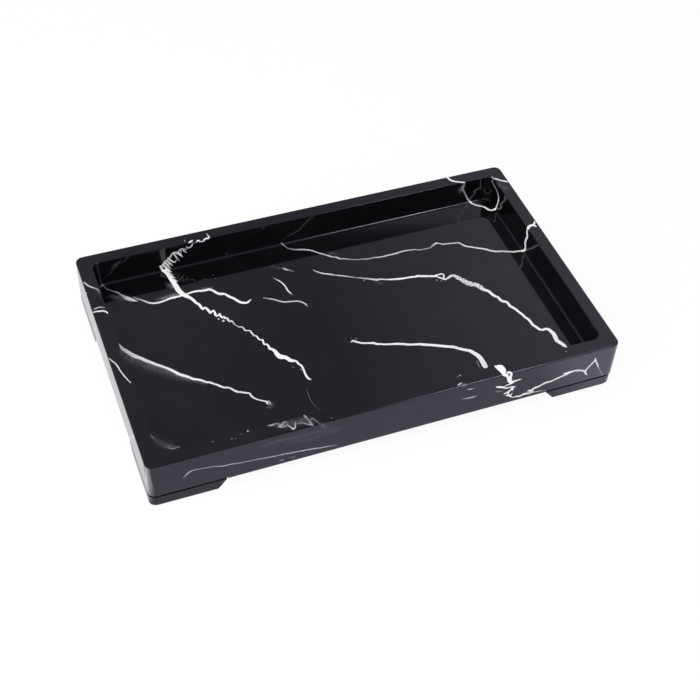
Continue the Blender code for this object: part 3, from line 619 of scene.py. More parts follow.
# All of it lies on the face "seen"
HAZES = (
    Haze("wave_rim_smear", ((95.6, 289.2, .7), (98.4, 291, .8), (100.4, 293, .7)), (.1, .16, .1)),
    Haze("wave_veil", (
        (158, 300.2, 1), (166, 297.6, 1.2), (174, 295.2, 1.2), (184, 292.4, .8)), (.1, .26, .22, .1)),
    Haze("wave_knot", ((170.2, 284.4, 1), (172.4, 287.6, 1)), (.2, .2)),
    Haze("wave_crest", ((203, 289, .8), (211, 288.2, .8)), (.18, .18)),
    Haze("wave_under", ((110, 296.4, 1.4), (118, 297.6, 1.5), (128, 298.2, 1.3)), (.05, .13, .2)),
    Haze("smoky_skirt", (
        (121, 351.4, 1), (125, 356, 1.8), (132, 360.4, 2.2), (142, 364, 2.4), (152, 367.4, 2.4),
        (162, 370.6, 2.2), (172, 374.2, 2), (182, 378, 1.6), (192, 380.6, 1)), (.07, .08, .09, .09, .09,
        .09, .08, .05)),
    Haze("smoky_underline", (
        (126, 354.6, 1.1), (134, 359, 1.2), (144, 362.6, 1.1), (156, 366.8, 1), (168, 371.2, 1.1),
        (178, 375.8, .9), (190, 379.4, .8), (206, 383.4, .6)), (.12, .18, .18, .17, .18, .18, .18, .12)),
    Haze("smoky_drip", ((267.6, 407.2, .5), (270.6, 407.4, .5), (272.6, 403, .5)), (.12, .1, .12)),
    Haze("corner_smoke", ((498.4, 184, 1.4), (506, 188.6, 1.6)), (.05, .06)),
    Haze("dash_smoke", ((463.4, 385.2, .7), (465.6, 384.2, .6)), (.22, .18)),
    Haze("loop_smoke", ((463.2, 186, 1), (461.2, 189.4, 1.3), (460.2, 191.6, .9)), (.2, .34, .2)),
    Haze("glint_tail", ((272, 266.4, .6), (280, 268.4, .6)), (.04, .1)),
    Haze("cloud_veil", (
        (276, 424.6, 1.4), (284, 424.4, 1.8), (290, 423, 2), (298, 422, 1.8), (306, 420, 2),
        (311, 422, 1.4)), (.08, .13, .12, .07, .12, .1)),
    Haze("cloud_trail", ((320.6, 424.4, 1), (323.6, 426.2, 1), (326.6, 428.4, .8)), (.08, .1, .05)),
    Haze("floor_corner", (
        (151.4, 436.6, .8), (156, 440.8, 1.3), (162, 443.8, 1.5), (168, 445.8, 1.5), (175, 447.4, 1)), (.08,
        .13, .14, .15, .12)),
    Haze("front_streak_upper", (
        (262, 446, .8), (276, 441.8, .9), (290, 438.6, .9), (304, 435.6, .8), (316, 432.6, .9),
        (332, 429.4, .8)), (.02, .05, .05, .04, .05, .04)),
    Haze("front_streak_lower", (
        (284, 444.6, .7), (300, 441.2, .9), (316, 437.2, .8), (340, 428, .8)), (.02, .04, .035, .03)),
    Haze("ladder_shadow", ((376, 282, .9), (381, 283.2, .9)), (.05, .05)),
    Haze("upper_halo", ((329.6, 253.4, .6), (334.4, 253.8, .6)), (.12, .1)),
)

# Single pale flecks on the same face: pixel, radius in mm and strength
FLECKS = (
    (218.6, 319, .5, .8), (223.4, 321, .6, .95), (223, 318.8, .35, .7), (293, 367, .35, .45),
    (300.8, 369.4, .4, .45), (247.8, 431, .45, .65), (212.6, 441.6, .45, .2), (231.6, 438.6, .55, .18),
    (235.6, 438.6, .4, .14), (241.4, 434, .4, .15), (460, 375.3, .5, .55), (457.7, 376.7, .4, .25),
    (509.4, 374.7, .6, .55), (364, 280.4, .45, .45), (436.8, 280.2, .6, .35), (441.4, 281, .5, .35),
    (356.4, 338.6, .5, .3), (351.2, 338.2, .3, .25), (184.6, 240.4, .4, .55), (184.9, 241.8, .35, .45),
    (226.9, 254.1, .35, .25), (558.8, 381, .35, .35), (566.2, 351.6, .45, .25), (213.2, 275.2, .25, .3),
    (215, 278.2, .25, .3), (331.6, 417.8, .45, .14),
)


class CameraRig:
    """The photograph's camera: its axes, and the ray through a pixel."""

    def __init__(self):
        sine, cosine = math.sin(CAMERA_AZIMUTH), math.cos(CAMERA_AZIMUTH)
        level = math.cos(CAMERA_ELEVATION)
        self.back = Vector((sine * level, -cosine * level, math.sin(CAMERA_ELEVATION)))
        side = Vector((cosine, sine, 0.0))
        upright = self.back.cross(side)
        self.right = side * math.cos(CAMERA_ROLL) + upright * math.sin(CAMERA_ROLL)
        self.up = upright * math.cos(CAMERA_ROLL) - side * math.sin(CAMERA_ROLL)

    def matrix(self):
        turned = Matrix((self.right, self.up, self.back)).transposed()
        return Matrix.Translation(CAMERA_PLACE) @ turned.to_4x4()

    def ray(self, across, down):
        """Direction of the ray through a pixel."""
        middle = PHOTO_SIDE / 2
        return self.right * (across - middle) - self.up * (down - middle) - self.back * FOCAL_PIXELS


class Wires:
    """Adds nodes to a tree and joins them."""

    def __init__(self, tree):
        self.tree = tree

    def node(self, kind, **settings):
        made = self.tree.nodes.new(kind)
        for name, value in settings.items():
            setattr(made, name, value)
        return made

    def join(self, source, target):
        """Feeds a socket, or a plain value, to an input socket."""
        if isinstance(source, bpy.types.NodeSocket):
            self.tree.links.new(source, target)
        else:
            target.default_value = source

    def math(self, operation, *values, clamp=False):
        made = self.node("ShaderNodeMath", operation=operation, use_clamp=clamp)
        for value, target in zip(values, made.inputs):
            self.join(value, target)
        return made.outputs[0]

    def vector(self, operation, *values):
        made = self.node("ShaderNodeVectorMath", operation=operation)
        for value, target in zip(values, made.inputs):
            self.join(value, target)
        return made.outputs["Vector"]

    def parts(self, vector):
        """The three numbers of a vector."""
        made = self.node("ShaderNodeSeparateXYZ")
        self.join(vector, made.inputs[0])
        return made.outputs

    def ramp(self, value, low, high, to_low=0.0, to_high=1.0, smooth=True):
        """Maps value from low..high to to_low..to_high, held at the ends."""
        made = self.node("ShaderNodeMapRange", interpolation_type="SMOOTHSTEP" if smooth else "LINEAR")
        for name, given in (("Value", value), ("From Min", low), ("From Max", high),
                            ("To Min", to_low), ("To Max", to_high)):
            self.join(given, made.inputs[name])
        return made.outputs["Result"]

    def mix(self, kind, *values):
        """Mixes two numbers (FLOAT) or two colours (RGBA) by a factor, which comes first."""
        made = self.node("ShaderNodeMix", data_type=kind)
        places, result = MIX_SOCKETS[kind]
        for value, place in zip(values, places):
            self.join(value, made.inputs[place])
        return made.outputs[result]

    def mix_shader(self, factor, first, second):
        made = self.node("ShaderNodeMixShader")
        for source, target in zip((factor, first, second), made.inputs):
            self.join(source, target)
        return made.outputs[0]

    def noise(self, place, grain):
        """A grain's pattern, read at a place."""
        made = self.node("ShaderNodeTexNoise", noise_dimensions="3D")
        self.join(place, made.inputs["Vector"])
        for name, value in zip(("Scale", "Detail", "Roughness", "Distortion"), grain):
            self.join(value, made.inputs[name])
        return made.outputs["Fac"]

    def emission(self, strength, colour=(1, 1, 1)):
        made = self.node("ShaderNodeEmission")
        self.join(strength, made.inputs["Strength"])
        self.join(opaque(colour), made.inputs["Color"])
        return made.outputs[0]


def opaque(colour):
    return (*colour, 1.0)


class Skin:
    """The casting's surface, and where a vein's points fall on it."""

    def __init__(self, mesh):
        self.rig = CameraRig()
        self.tree = BVHTree.FromPolygons([vert.co for vert in mesh.vertices],
                                         [tuple(face.vertices) for face in mesh.polygons])

    def sight(self, face, first, second):
        """Start and direction of the line that carries a point of a face to the casting."""
        along, upright = first * MM, second * MM
        outside = 2 * HALF_LENGTH
        return {
            "seen": (CAMERA_PLACE, self.rig.ray(first, second)),
            "back": (Vector((along, outside, upright)), Vector((0, -1, 0))),
            "right": (Vector((outside, along, upright)), Vector((-1, 0, 0))),
            "left": (Vector((-outside, along, upright)), Vector((1, 0, 0))),
            "underside": (Vector((along, upright, -outside)), Vector((0, 0, 1))),
        }[face]

    def places(self, face, points):
        """Where each point falls, not a number where it misses the casting."""
        hits = [self.tree.ray_cast(*self.sight(face, *point))[0] for point in points]
        return np.array([hit if hit else (math.nan,) * 3 for hit in hits])


def sample_route(route, angular):
    """Points a route step apart through a route's own, and the share of the way that each has come."""
    points = np.array(route, float)
    chords = np.linalg.norm(np.diff(points[:, :2], axis=0), axis=1)
    knots = np.concatenate([[0.0], np.cumsum(chords)])
    wanted = np.linspace(0.0, knots[-1], max(2, round(knots[-1] / ROUTE_STEP) + 1))
    left = np.clip(np.searchsorted(knots, wanted, side="right") - 1, 0, len(knots) - 2)
    t = ((wanted - knots[left]) / chords[left])[:, None]
    start, end = points[left], points[left + 1]
    way = start + (end - start) * t
    if not angular:
        slopes = np.gradient(points, knots, axis=0) if len(points) > 2 \
            else np.broadcast_to(np.diff(points, axis=0) / chords, points.shape)
        span = chords[left][:, None]
        way = (start * (2 * t ** 3 - 3 * t ** 2 + 1) + end * (3 * t ** 2 - 2 * t ** 3)
               + slopes[left] * span * (t ** 3 - 2 * t ** 2 + t)
               + slopes[left + 1] * span * (t ** 3 - t ** 2))
    return way, (left + t[:, 0]) / (len(points) - 1)


def spread(values, share):
    """Values given at even stations, read at shares from 0 to 1 along the route."""
    if len(values) == 1:
        return np.full(len(share), values[0])
    return np.interp(share, np.linspace(0, 1, len(values)), values)


def lay_strand(skin, face, way, *looks):
    """Rows of place, width in mm and looks, for the samples that meet the casting."""
    rows = np.column_stack([skin.places(face, way[:, :2]), way[:, 2], *looks])
    return rows[~np.isnan(rows[:, 0])]


def vein_strands(skin):
    strands = []
    for face, veins in VEINS.items():
        for vein in veins:
            way, share = sample_route(vein.route, vein.angular)
            looks = spread(vein.strengths, share), spread(vein.ragged, share)
            strands.append(lay_strand(skin, face, way, *looks))
    flecks = np.array(FLECKS)
    strands.append(lay_strand(skin, "seen", flecks, flecks[:, 3], np.full(len(flecks), FLECK_RAGGED)))
    return strands


def haze_strands(skin):
    strands = []
    for haze in HAZES:
        way, share = sample_route(haze.route, False)
        strands.append(lay_strand(skin, "seen", way, spread(haze.strengths, share)))
    return strands


def near_strand(points, strand, reach):
    """Indices of the points within a strand's box and reach, and their distances in mm to its samples."""
    low, high = strand[:, :3].min(axis=0) - reach, strand[:, :3].max(axis=0) + reach
    near = np.flatnonzero(((points > low) & (points < high)).all(axis=1))
    gaps = np.linalg.norm(points[near, None, :] - strand[None, :, :3], axis=2) / MM
    return near, gaps


def vein_field(points, strands):
    """At each point: depth in mm inside a vein's edge, negative outside, its strength and raggedness."""
    field = np.tile([FAR_OUTSIDE, 0.0, 0.0], (len(points), 1))
    rank = np.full(len(points), FAR_OUTSIDE)
    for strand in strands:
        near, gaps = near_strand(points, strand, VEIN_REACH)
        depths = strand[:, 3] - gaps
        best = depths.argmax(axis=1)
        depth = depths[np.arange(len(near)), best]
        look = strand[best, 4:]
        claim = np.minimum(depth, CROSSING_DEPTH) + CROSSING_DEPTH * look[:, 0]
        wins = claim > rank[near]
        rank[near[wins]] = claim[wins]
        field[near[wins]] = np.column_stack([depth, look])[wins]
    return field


def haze_field(points, strands):
    """How much haze lies at each point."""
    field = np.zeros(len(points))
    for strand in strands:
        near, gaps = near_strand(points, strand, HAZE_REACH * strand[:, 3].max() * MM)
        values = strand[:, 4] * np.exp(-(gaps / strand[:, 3]) ** 2)
        field[near] = np.maximum(field[near], values.max(axis=1))
    return field


def refine_near_veins(mesh, veins, hazes):
    """Halves the casting's faces near the veins, level by level, so that thin strokes keep their edges."""
    bm = bmesh.new()
    bm.from_mesh(mesh)
    for reach, shortest in REFINE_LEVELS:
        centres = np.array([face.calc_center_median() for face in bm.faces])
        wanted = vein_field(centres, veins)[:, 0] > -reach
        if shortest > HAZE_CELL:
            wanted |= haze_field(centres, hazes) > FAINT_HAZE
        edges = dict.fromkeys(edge for face, chosen in zip(bm.faces, wanted) if chosen
                              for edge in face.edges if edge.calc_length() > shortest)
        bmesh.ops.subdivide_edges(bm, edges=list(edges), cuts=1, use_grid_fill=True)
    bm.to_mesh(mesh)
    bm.free()


def lay_veins(mesh):
    """Meshes the casting finely where veins run, and writes the attributes that its material reads."""
    skin = Skin(mesh)
    veins, hazes = vein_strands(skin), haze_strands(skin)
    refine_near_veins(mesh, veins, hazes)
    places = np.empty(len(mesh.vertices) * 3, np.float32)
    mesh.vertices.foreach_get("co", places)
    places = places.reshape(-1, 3)
    vein = mesh.attributes.new("vein", "FLOAT_VECTOR", "POINT")
    vein.data.foreach_set("vector", vein_field(places, veins).astype(np.float32).ravel())
    haze = mesh.attributes.new("haze", "FLOAT", "POINT")
    haze.data.foreach_set("value", haze_field(places, hazes).astype(np.float32))


def fillet(corners, segments):
    """A profile with each inner corner (place, tangent length) swapped for an arc."""
    path = [Vector(corners[0][0])]
    for (before, _), (corner, reach), (after, _) in zip(corners, corners[1:], corners[2:]):
        corner = Vector(corner)
        to_before = (Vector(before) - corner).normalized()
        to_after = (Vector(after) - corner).normalized()
        half_angle = to_before.angle(to_after) / 2
        centre = corner + (to_before + to_after).normalized() * (reach / math.cos(half_angle))
        first = corner + to_before * reach - centre
        turn = -first.angle_signed(corner + to_after * reach - centre)
        path.extend(centre + Matrix.Rotation(turn * step / segments, 2) @ first
                    for step in range(segments + 1))
    path.append(Vector(corners[-1][0]))
    return path


def subdivide(path, step, support):
    """Adds points to a profile's straight runs, a support beside each end and then a mesh step apart."""
    dense = [path[0]]
    for start, end in zip(path, path[1:]):
        length = (end - start).length
        if length > 4 * support and length > step / 2:
            count = max(1, round((length - 2 * support) / step))
            stations = [support + (length - 2 * support) * i / count for i in range(count + 1)]
            dense.extend(start.lerp(end, station / length) for station in stations)
        dense.append(end)
    return dense


def casting_profile(sizes):
    """The casting's section as (inset from the outer wall, corner radius, height), underside to floor."""
    bottom_inset = sizes.rim_width + (RIM_Z - FLOOR_Z) * math.tan(sizes.wall_draft)
    corners = (
        ((HALF_WIDTH, UNDERSIDE_Z - BELLY_DROP), 0.0),
        ((0.0, UNDERSIDE_Z - BELLY_DROP), sizes.underside_round),
        ((0.0, RIM_Z), sizes.rim_round),
        ((sizes.rim_width, RIM_Z), sizes.mouth_round),
        ((bottom_inset, FLOOR_Z), sizes.floor_fillet),
        ((HALF_WIDTH, FLOOR_Z), 0.0),
    )
    section = subdivide(fillet(corners, ROUND_SEGMENTS), MESH_STEP, SUPPORT)
    rim_start, rim_end = sizes.rim_round, sizes.rim_width - sizes.mouth_round
    rings = []
    inside = False
    for inset, height in section:
        on_rim = RIM_Z - height < MERGE_DISTANCE
        inside = inside or (on_rim and inset > rim_end - MERGE_DISTANCE)
        wall_inset = sizes.rim_width + (RIM_Z - height) * math.tan(sizes.wall_draft)
        outer = sizes.outer_corner - inset
        inner = sizes.inner_corner + wall_inset - inset
        share = min(max((inset - rim_start) / (rim_end - rim_start), 0.0), 1.0)
        blend = 1.0 if inside else share if on_rim else 0.0
        rings.append((inset, max(outer + (inner - outer) * blend, 0.0), height))
    return rings


def loft_tree():
    """Geometry Nodes that carry a section round a rectangle with rounded corners."""
    tree = bpy.data.node_groups.new("tray_casting_loft", "GeometryNodeTree")
    wires = Wires(tree)
    sockets = {}
    for name, kind in (("Section", "NodeSocketGeometry"), ("Half length", "NodeSocketFloat"),
                       ("Half width", "NodeSocketFloat"), ("Corner reach", "NodeSocketFloat"),
                       ("Perimeter steps", "NodeSocketInt"), ("Merge distance", "NodeSocketFloat"),
                       ("Material", "NodeSocketMaterial")):
        sockets[name] = tree.interface.new_socket(name=name, in_out="INPUT", socket_type=kind)
    tree.interface.new_socket(name="Casting", in_out="OUTPUT", socket_type="NodeSocketGeometry")
    given = wires.node("NodeGroupInput").outputs

    rings = wires.node("GeometryNodeAttributeDomainSize", component="MESH")
    wires.join(given["Section"], rings.inputs["Geometry"])
    grid = wires.node("GeometryNodeMeshGrid")
    wires.join(wires.math("ADD", given["Perimeter steps"], 1.0), grid.inputs["Vertices X"])
    wires.join(rings.outputs["Point Count"], grid.inputs["Vertices Y"])

    index = wires.node("GeometryNodeInputIndex").outputs[0]
    column = wires.node("FunctionNodeIntegerMath", operation="DIVIDE_FLOOR")
    ring = wires.node("FunctionNodeIntegerMath", operation="MODULO")
    for split in (column, ring):
        wires.join(index, split.inputs[0])
        wires.join(rings.outputs["Point Count"], split.inputs[1])

    section = wires.node("GeometryNodeSampleIndex", data_type="FLOAT_VECTOR", domain="POINT")
    wires.join(given["Section"], section.inputs["Geometry"])
    wires.join(wires.node("GeometryNodeInputPosition").outputs[0], section.inputs["Value"])
    wires.join(ring.outputs[0], section.inputs["Index"])
    inset, radius, height = wires.parts(section.outputs["Value"])

    track = wires.node("GeometryNodeCurvePrimitiveQuadrilateral", mode="RECTANGLE")
    for side, name in (("Width", "Half length"), ("Height", "Half width")):
        reached = wires.math("ADD", given[name], given["Corner reach"])
        wires.join(wires.math("MULTIPLY", reached, 2.0), track.inputs[side])
    station = wires.node("GeometryNodeSampleCurve", mode="FACTOR", data_type="FLOAT")
    wires.join(track.outputs["Curve"], station.inputs["Curves"])
    wires.join(wires.math("DIVIDE", column.outputs[0], given["Perimeter steps"]), station.inputs["Factor"])
    on_track = station.outputs["Position"]

    drawn_in = wires.math("ADD", inset, radius)
    core = wires.node("ShaderNodeCombineXYZ")
    for axis, name in (("X", "Half length"), ("Y", "Half width")):
        room = wires.math("SUBTRACT", given[name], drawn_in)
        wires.join(wires.math("MAXIMUM", room, 0.0), core.inputs[axis])
    centre = wires.vector("MINIMUM", on_track, core.outputs[0])
    centre = wires.vector("MAXIMUM", centre, wires.vector("MULTIPLY", core.outputs[0], (-1, -1, -1)))
    outward = wires.vector("NORMALIZE", wires.vector("SUBTRACT", on_track, centre))
    spoke = wires.node("ShaderNodeVectorMath", operation="SCALE")
    wires.join(outward, spoke.inputs["Vector"])
    wires.join(radius, spoke.inputs["Scale"])
    lift = wires.node("ShaderNodeCombineXYZ")
    wires.join(height, lift.inputs["Z"])
    place = wires.vector("ADD", wires.vector("ADD", centre, spoke.outputs["Vector"]), lift.outputs[0])

    moved = wires.node("GeometryNodeSetPosition")
    wires.join(grid.outputs["Mesh"], moved.inputs["Geometry"])
    wires.join(place, moved.inputs["Position"])
    merged = wires.node("GeometryNodeMergeByDistance")
    wires.join(moved.outputs["Geometry"], merged.inputs["Geometry"])
    wires.join(given["Merge distance"], merged.inputs["Distance"])
    realized = wires.node("GeometryNodeRealizeInstances")
    wires.join(merged.outputs["Geometry"], realized.inputs["Geometry"])
    finished = wires.node("GeometryNodeSetMaterial")
    wires.join(realized.outputs["Geometry"], finished.inputs["Geometry"])
    wires.join(given["Material"], finished.inputs["Material"])
    wires.join(finished.outputs["Geometry"], wires.node("NodeGroupOutput").inputs[0])
    return tree, {name: socket.identifier for name, socket in sockets.items()}


def evaluated_mesh(obj, name):
    """What an object's modifiers make, as a plain mesh; the object itself goes."""
    bpy.context.view_layer.update()
    depsgraph = bpy.context.evaluated_depsgraph_get()
    mesh = bpy.data.meshes.new_from_object(obj.evaluated_get(depsgraph))
    mesh.name = name
    bpy.data.objects.remove(obj, do_unlink=True)
    return mesh


def link_object(name, mesh):
    obj = bpy.data.objects.new(name, mesh)
    bpy.context.scene.collection.objects.link(obj)
    return obj


def close_mesh(mesh):
    """Merges what coincides, drops slivers without area and points every face outwards."""
    bm = bmesh.new()
    bm.from_mesh(mesh)
    bmesh.ops.remove_doubles(bm, verts=bm.verts, dist=MERGE_DISTANCE)
    bmesh.ops.dissolve_degenerate(bm, edges=bm.edges, dist=MERGE_DISTANCE)
    bmesh.ops.recalc_face_normals(bm, faces=bm.faces)
    bm.to_mesh(mesh)
    bm.free()
    mesh.shade_smooth()


def principled(name):
    """A material with its tree wrapped, its shader and the place that its patterns read."""
    material = bpy.data.materials.new(name)
    material.use_nodes = True
    wires = Wires(material.node_tree)
    shader = material.node_tree.nodes["Principled BSDF"]
    place = wires.node("ShaderNodeTexCoord").outputs["Object"]
    return material, wires, shader, place


def recess_wall(wires, place):
    """1 on the recess walls and 0 elsewhere."""
    x, y, z = wires.parts(place)
    past_side = wires.math("SUBTRACT", wires.math("ABSOLUTE", x), HALF_LENGTH)
    past_front = wires.math("SUBTRACT", wires.math("ABSOLUTE", y), HALF_WIDTH)
    within = wires.math("LESS_THAN", wires.math("MAXIMUM", past_side, past_front), -WALL_START)
    return wires.math("MULTIPLY", within, wires.ramp(z, FLOOR_Z + WALL_FOOT, FLOOR_Z + 2 * WALL_FOOT))


def clouded_resin(wires, place, colours, grain, limits):
    """The resin's colour, paler where it is clouded."""
    cloud = wires.ramp(wires.noise(place, grain), *limits)
    return wires.mix("RGBA", cloud, opaque(colours.resin), opaque(colours.resin_cloud))


def marble_material(colours):
    """Polished black resin with pale veins and haze laid in it."""
    material, wires, shader, place = principled("marble_resin_polished")
    vein = wires.node("ShaderNodeAttribute", attribute_name="vein").outputs["Vector"]
    depth, strength, ragged = wires.parts(vein)
    fray = wires.math("SUBTRACT", wires.noise(place, VEIN_FRAY), FRAY_MIDDLE)
    frayed = wires.math("MULTIPLY_ADD", fray, wires.math("MULTIPLY", ragged, FRAY_REACH), depth)
    body = wires.ramp(frayed, *EDGE_RANGE)
    loss = wires.math("SUBTRACT", wires.ramp(wires.noise(place, VEIN_SPECKLE), *SPECKLE_RANGE), 1.0)
    kept = wires.math("MULTIPLY_ADD", wires.ramp(ragged, *SPECKLED_RANGE), loss, 1.0)
    grain = wires.ramp(wires.noise(place, VEIN_GRAIN), *GRAIN_RANGE)
    for factor in (kept, strength, grain):
        body = wires.math("MULTIPLY", body, factor)
    haze = wires.node("ShaderNodeAttribute", attribute_name="haze").outputs["Fac"]
    smoke = wires.ramp(wires.noise(place, HAZE_SMOKE), *SMOKE_RANGE)
    value = wires.math("MAXIMUM", body, wires.math("MULTIPLY", haze, smoke), clamp=True)
    base = clouded_resin(wires, place, colours, BODY_CLOUD, BODY_CLOUD_RANGE)
    paling = wires.ramp(value, *STREAK_RANGE)
    streak = wires.mix("RGBA", paling, opaque(colours.vein_edge), opaque(colours.vein))
    wires.join(wires.mix("RGBA", value, base, streak), shader.inputs["Base Color"])
    polish = wires.mix("FLOAT", recess_wall(wires, place), colours.gloss, colours.wall_gloss)
    wires.join(polish, shader.inputs["Roughness"])
    return material


def foot_material(colours):
    """The same resin without veins, a little less polished."""
    material, wires, shader, place = principled("foot_resin_satin")
    base = clouded_resin(wires, place, colours, FOOT_CLOUD, FOOT_CLOUD_RANGE)
    wires.join(base, shader.inputs["Base Color"])
    shader.inputs["Specular IOR Level"].default_value = FOOT_SPECULAR
    wires.join(wires.ramp(wires.noise(place, FOOT_POLISH), *FOOT_POLISH_RANGE), shader.inputs["Roughness"])
    return material


def rubber_material(colours):
    """Matt moulded rubber with a fine grain."""
    material, wires, shader, place = principled("pad_rubber_matt")
    grain = wires.noise(place, RUBBER_GRAIN)
    tint = wires.node("ShaderNodeVectorMath", operation="SCALE")
    tint.inputs["Vector"].default_value = colours.rubber
    wires.join(wires.ramp(grain, *RUBBER_RANGE), tint.inputs["Scale"])
    wires.join(tint.outputs["Vector"], shader.inputs["Base Color"])
    shader.inputs["Roughness"].default_value = RUBBER_ROUGHNESS
    bump = wires.node("ShaderNodeBump")
    bump.inputs["Distance"].default_value = RUBBER_RELIEF
    wires.join(grain, bump.inputs["Height"])
    wires.join(bump.outputs["Normal"], shader.inputs["Normal"])
    return material


def corner_cutter(name, grow, outward, top):
    """A box at each corner, a foot's own grown on every side and stretched outwards, up to a height."""
    bm = bmesh.new()
    bottom = UNDERSIDE_Z - BELLY_DROP - CUT_OVERRUN
    reach = 2 * grow + outward
    for corner in CORNERS:
        low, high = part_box("foot_" + corner)
        middle = (low + high) / 2
        middle.x += math.copysign(outward / 2, middle.x)
        middle.y += math.copysign(outward / 2, middle.y)
        middle.z = (top + bottom) / 2
        size = (high.x - low.x + reach, high.y - low.y + reach, top - bottom)
        bmesh.ops.create_cube(bm, size=1, matrix=Matrix.Translation(middle) @ Matrix.Diagonal((*size, 1)))
    mesh = bpy.data.meshes.new(name)
    bm.to_mesh(mesh)
    bm.free()
    return link_object(name, mesh)


class TRAY_OT_casting(bpy.types.Operator):
    """Lofts the tray's casting and lays the veins on it"""
    bl_idname = "tray.casting"
    bl_label = "Tray casting"

    def execute(self, context):
        section = bpy.data.meshes.new("casting_section")
        section.from_pydata(casting_profile(context.scene.tray_sizes), [], [])
        former = link_object("casting_former", section)
        tree, sockets = loft_tree()
        reach = CORNER_STEPS * MESH_STEP
        perimeter = 4 * (HALF_LENGTH + HALF_WIDTH + 2 * reach)
        loft = former.modifiers.new("loft", "NODES")
        loft.node_group = tree
        for name, value in (("Half length", HALF_LENGTH), ("Half width", HALF_WIDTH), ("Corner reach", reach),
                            ("Perimeter steps", round(perimeter / MESH_STEP)),
                            ("Merge distance", MERGE_DISTANCE),
                            ("Material", marble_material(context.scene.tray_colours))):
            loft[sockets[name]] = value
        casting = evaluated_mesh(former, "casting")
        close_mesh(casting)

        tray = link_object("tray_casting", casting)
        cutters = (corner_cutter("foot_seats", SEAT_CLEARANCE, CUT_OVERRUN, UNDERSIDE_Z + SEAT_RISE),
                   corner_cutter("neck_pockets", -NECK_SETBACK, 0.0, NECK_TOP_Z + NECK_CLEARANCE))
        for cutter in cutters:
            tray.modifiers.new(cutter.name, "BOOLEAN").object = cutter
        mesh = evaluated_mesh(tray, "tray_casting")
        for cutter in cutters:
            bpy.data.objects.remove(cutter, do_unlink=True)
        lay_veins(mesh)
        mesh.shade_smooth()
        mesh.set_sharp_from_angle(angle=SHARP_ANGLE)
        tray = link_object("tray_casting", mesh)
        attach(tray, BODY)
        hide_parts(TRAY_NODE)
        return {"FINISHED"}


class TRAY_OT_feet(bpy.types.Operator):
    """Brings the four corner feet out flush with the casting's end walls and finishes them"""
    bl_idname = "tray.feet"
    bl_label = "Corner feet"

    def execute(self, context):
        material = foot_material(context.scene.tray_colours)
        for corner in CORNERS:
            name = "foot_" + corner
            mesh = frame["nodes"][name].data.copy()
            mesh.materials[0] = material
            close_mesh(mesh)
            outer = max(abs(vert.co.x) for vert in mesh.vertices)
            for vert in mesh.vertices:
                share = max(0.0, 1.0 - (outer - abs(vert.co.x)) / FOOT_SKIN)
                vert.co.x += math.copysign(FOOT_STRETCH * share, vert.co.x)
            mesh.shade_flat()
            foot = link_object("flush_" + name, mesh)
            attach(foot, BODY)
            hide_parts(name)
        return {"FINISHED"}


class TRAY_OT_pads(bpy.types.Operator):
    """Finishes the four anti-slip pads"""
    bl_idname = "tray.pads"
    bl_label = "Anti-slip pads"

    def execute(self, context):
        material = rubber_material(context.scene.tray_colours)
        for corner in CORNERS:
            frame["nodes"]["pad_" + corner].data.materials[0] = material
        return {"FINISHED"}


def stage_material(name):
    """An empty material, its tree wrapped, and its surface to be joined."""
    material = bpy.data.materials.new(name)
    material.use_nodes = True
    material.node_tree.nodes.clear()
    wires = Wires(material.node_tree)
    return material, wires, wires.node("ShaderNodeOutputMaterial").inputs["Surface"]


def floor_material(studio):
    """A pale floor: white to the camera with a light shadow, cool and even where gloss mirrors it."""
    material, wires, surface = stage_material("studio_floor")
    path = wires.node("ShaderNodeLightPath").outputs
    lit = wires.node("ShaderNodeBsdfDiffuse")
    lit.inputs["Color"].default_value = opaque((studio.floor,) * 3)
    seen = wires.mix_shader(studio.floor_glow, lit.outputs[0], wires.emission(1.0))
    mirrored = wires.emission(studio.mirrored_floor, studio.cool)
    shown = wires.mix_shader(path["Is Camera Ray"], lit.outputs[0], seen)
    wires.join(wires.mix_shader(path["Is Glossy Ray"], shown, mirrored), surface)
    return material


def card_material(name, tint, strength, fade, faint=0.0):
    """A glowing card, faint at the first X of fade and at full strength from the second."""
    material, wires, surface = stage_material(name)
    place = wires.node("ShaderNodeTexCoord").outputs["Object"]
    glow = wires.ramp(wires.parts(place)["X"], *fade, faint, strength, smooth=False)
    wires.join(wires.emission(glow, tint), surface)
    return material


def light_world(studio):
    """White to the camera; to everything else a soft sky that brightens to the right."""
    world = bpy.data.worlds.new("studio_sky")
    bpy.context.scene.world = world
    world.use_nodes = True
    tree = world.node_tree
    tree.nodes.clear()
    wires = Wires(tree)
    rightward, away, _ = wires.parts(wires.node("ShaderNodeTexCoord").outputs["Generated"])
    glow = wires.math("ADD", wires.ramp(rightward, *SKY_LEFT, studio.sky_edge, 0.0, smooth=False),
                      wires.ramp(rightward, *SKY_RISE, studio.sky, studio.sky_right, smooth=False))
    for dimming in (wires.ramp(rightward, *SKY_FALL), wires.ramp(away, *SKY_NEAR)):
        glow = wires.math("MULTIPLY", glow, dimming)
    sky = wires.node("ShaderNodeBackground")
    sky.inputs["Color"].default_value = opaque(studio.cool)
    wires.join(glow, sky.inputs["Strength"])
    white = wires.node("ShaderNodeBackground")
    white.inputs["Color"].default_value = opaque((1, 1, 1))
    seen = wires.node("ShaderNodeLightPath").outputs["Is Camera Ray"]
    wires.join(wires.mix_shader(seen, sky.outputs[0], white.outputs[0]),
               wires.node("ShaderNodeOutputWorld").inputs["Surface"])


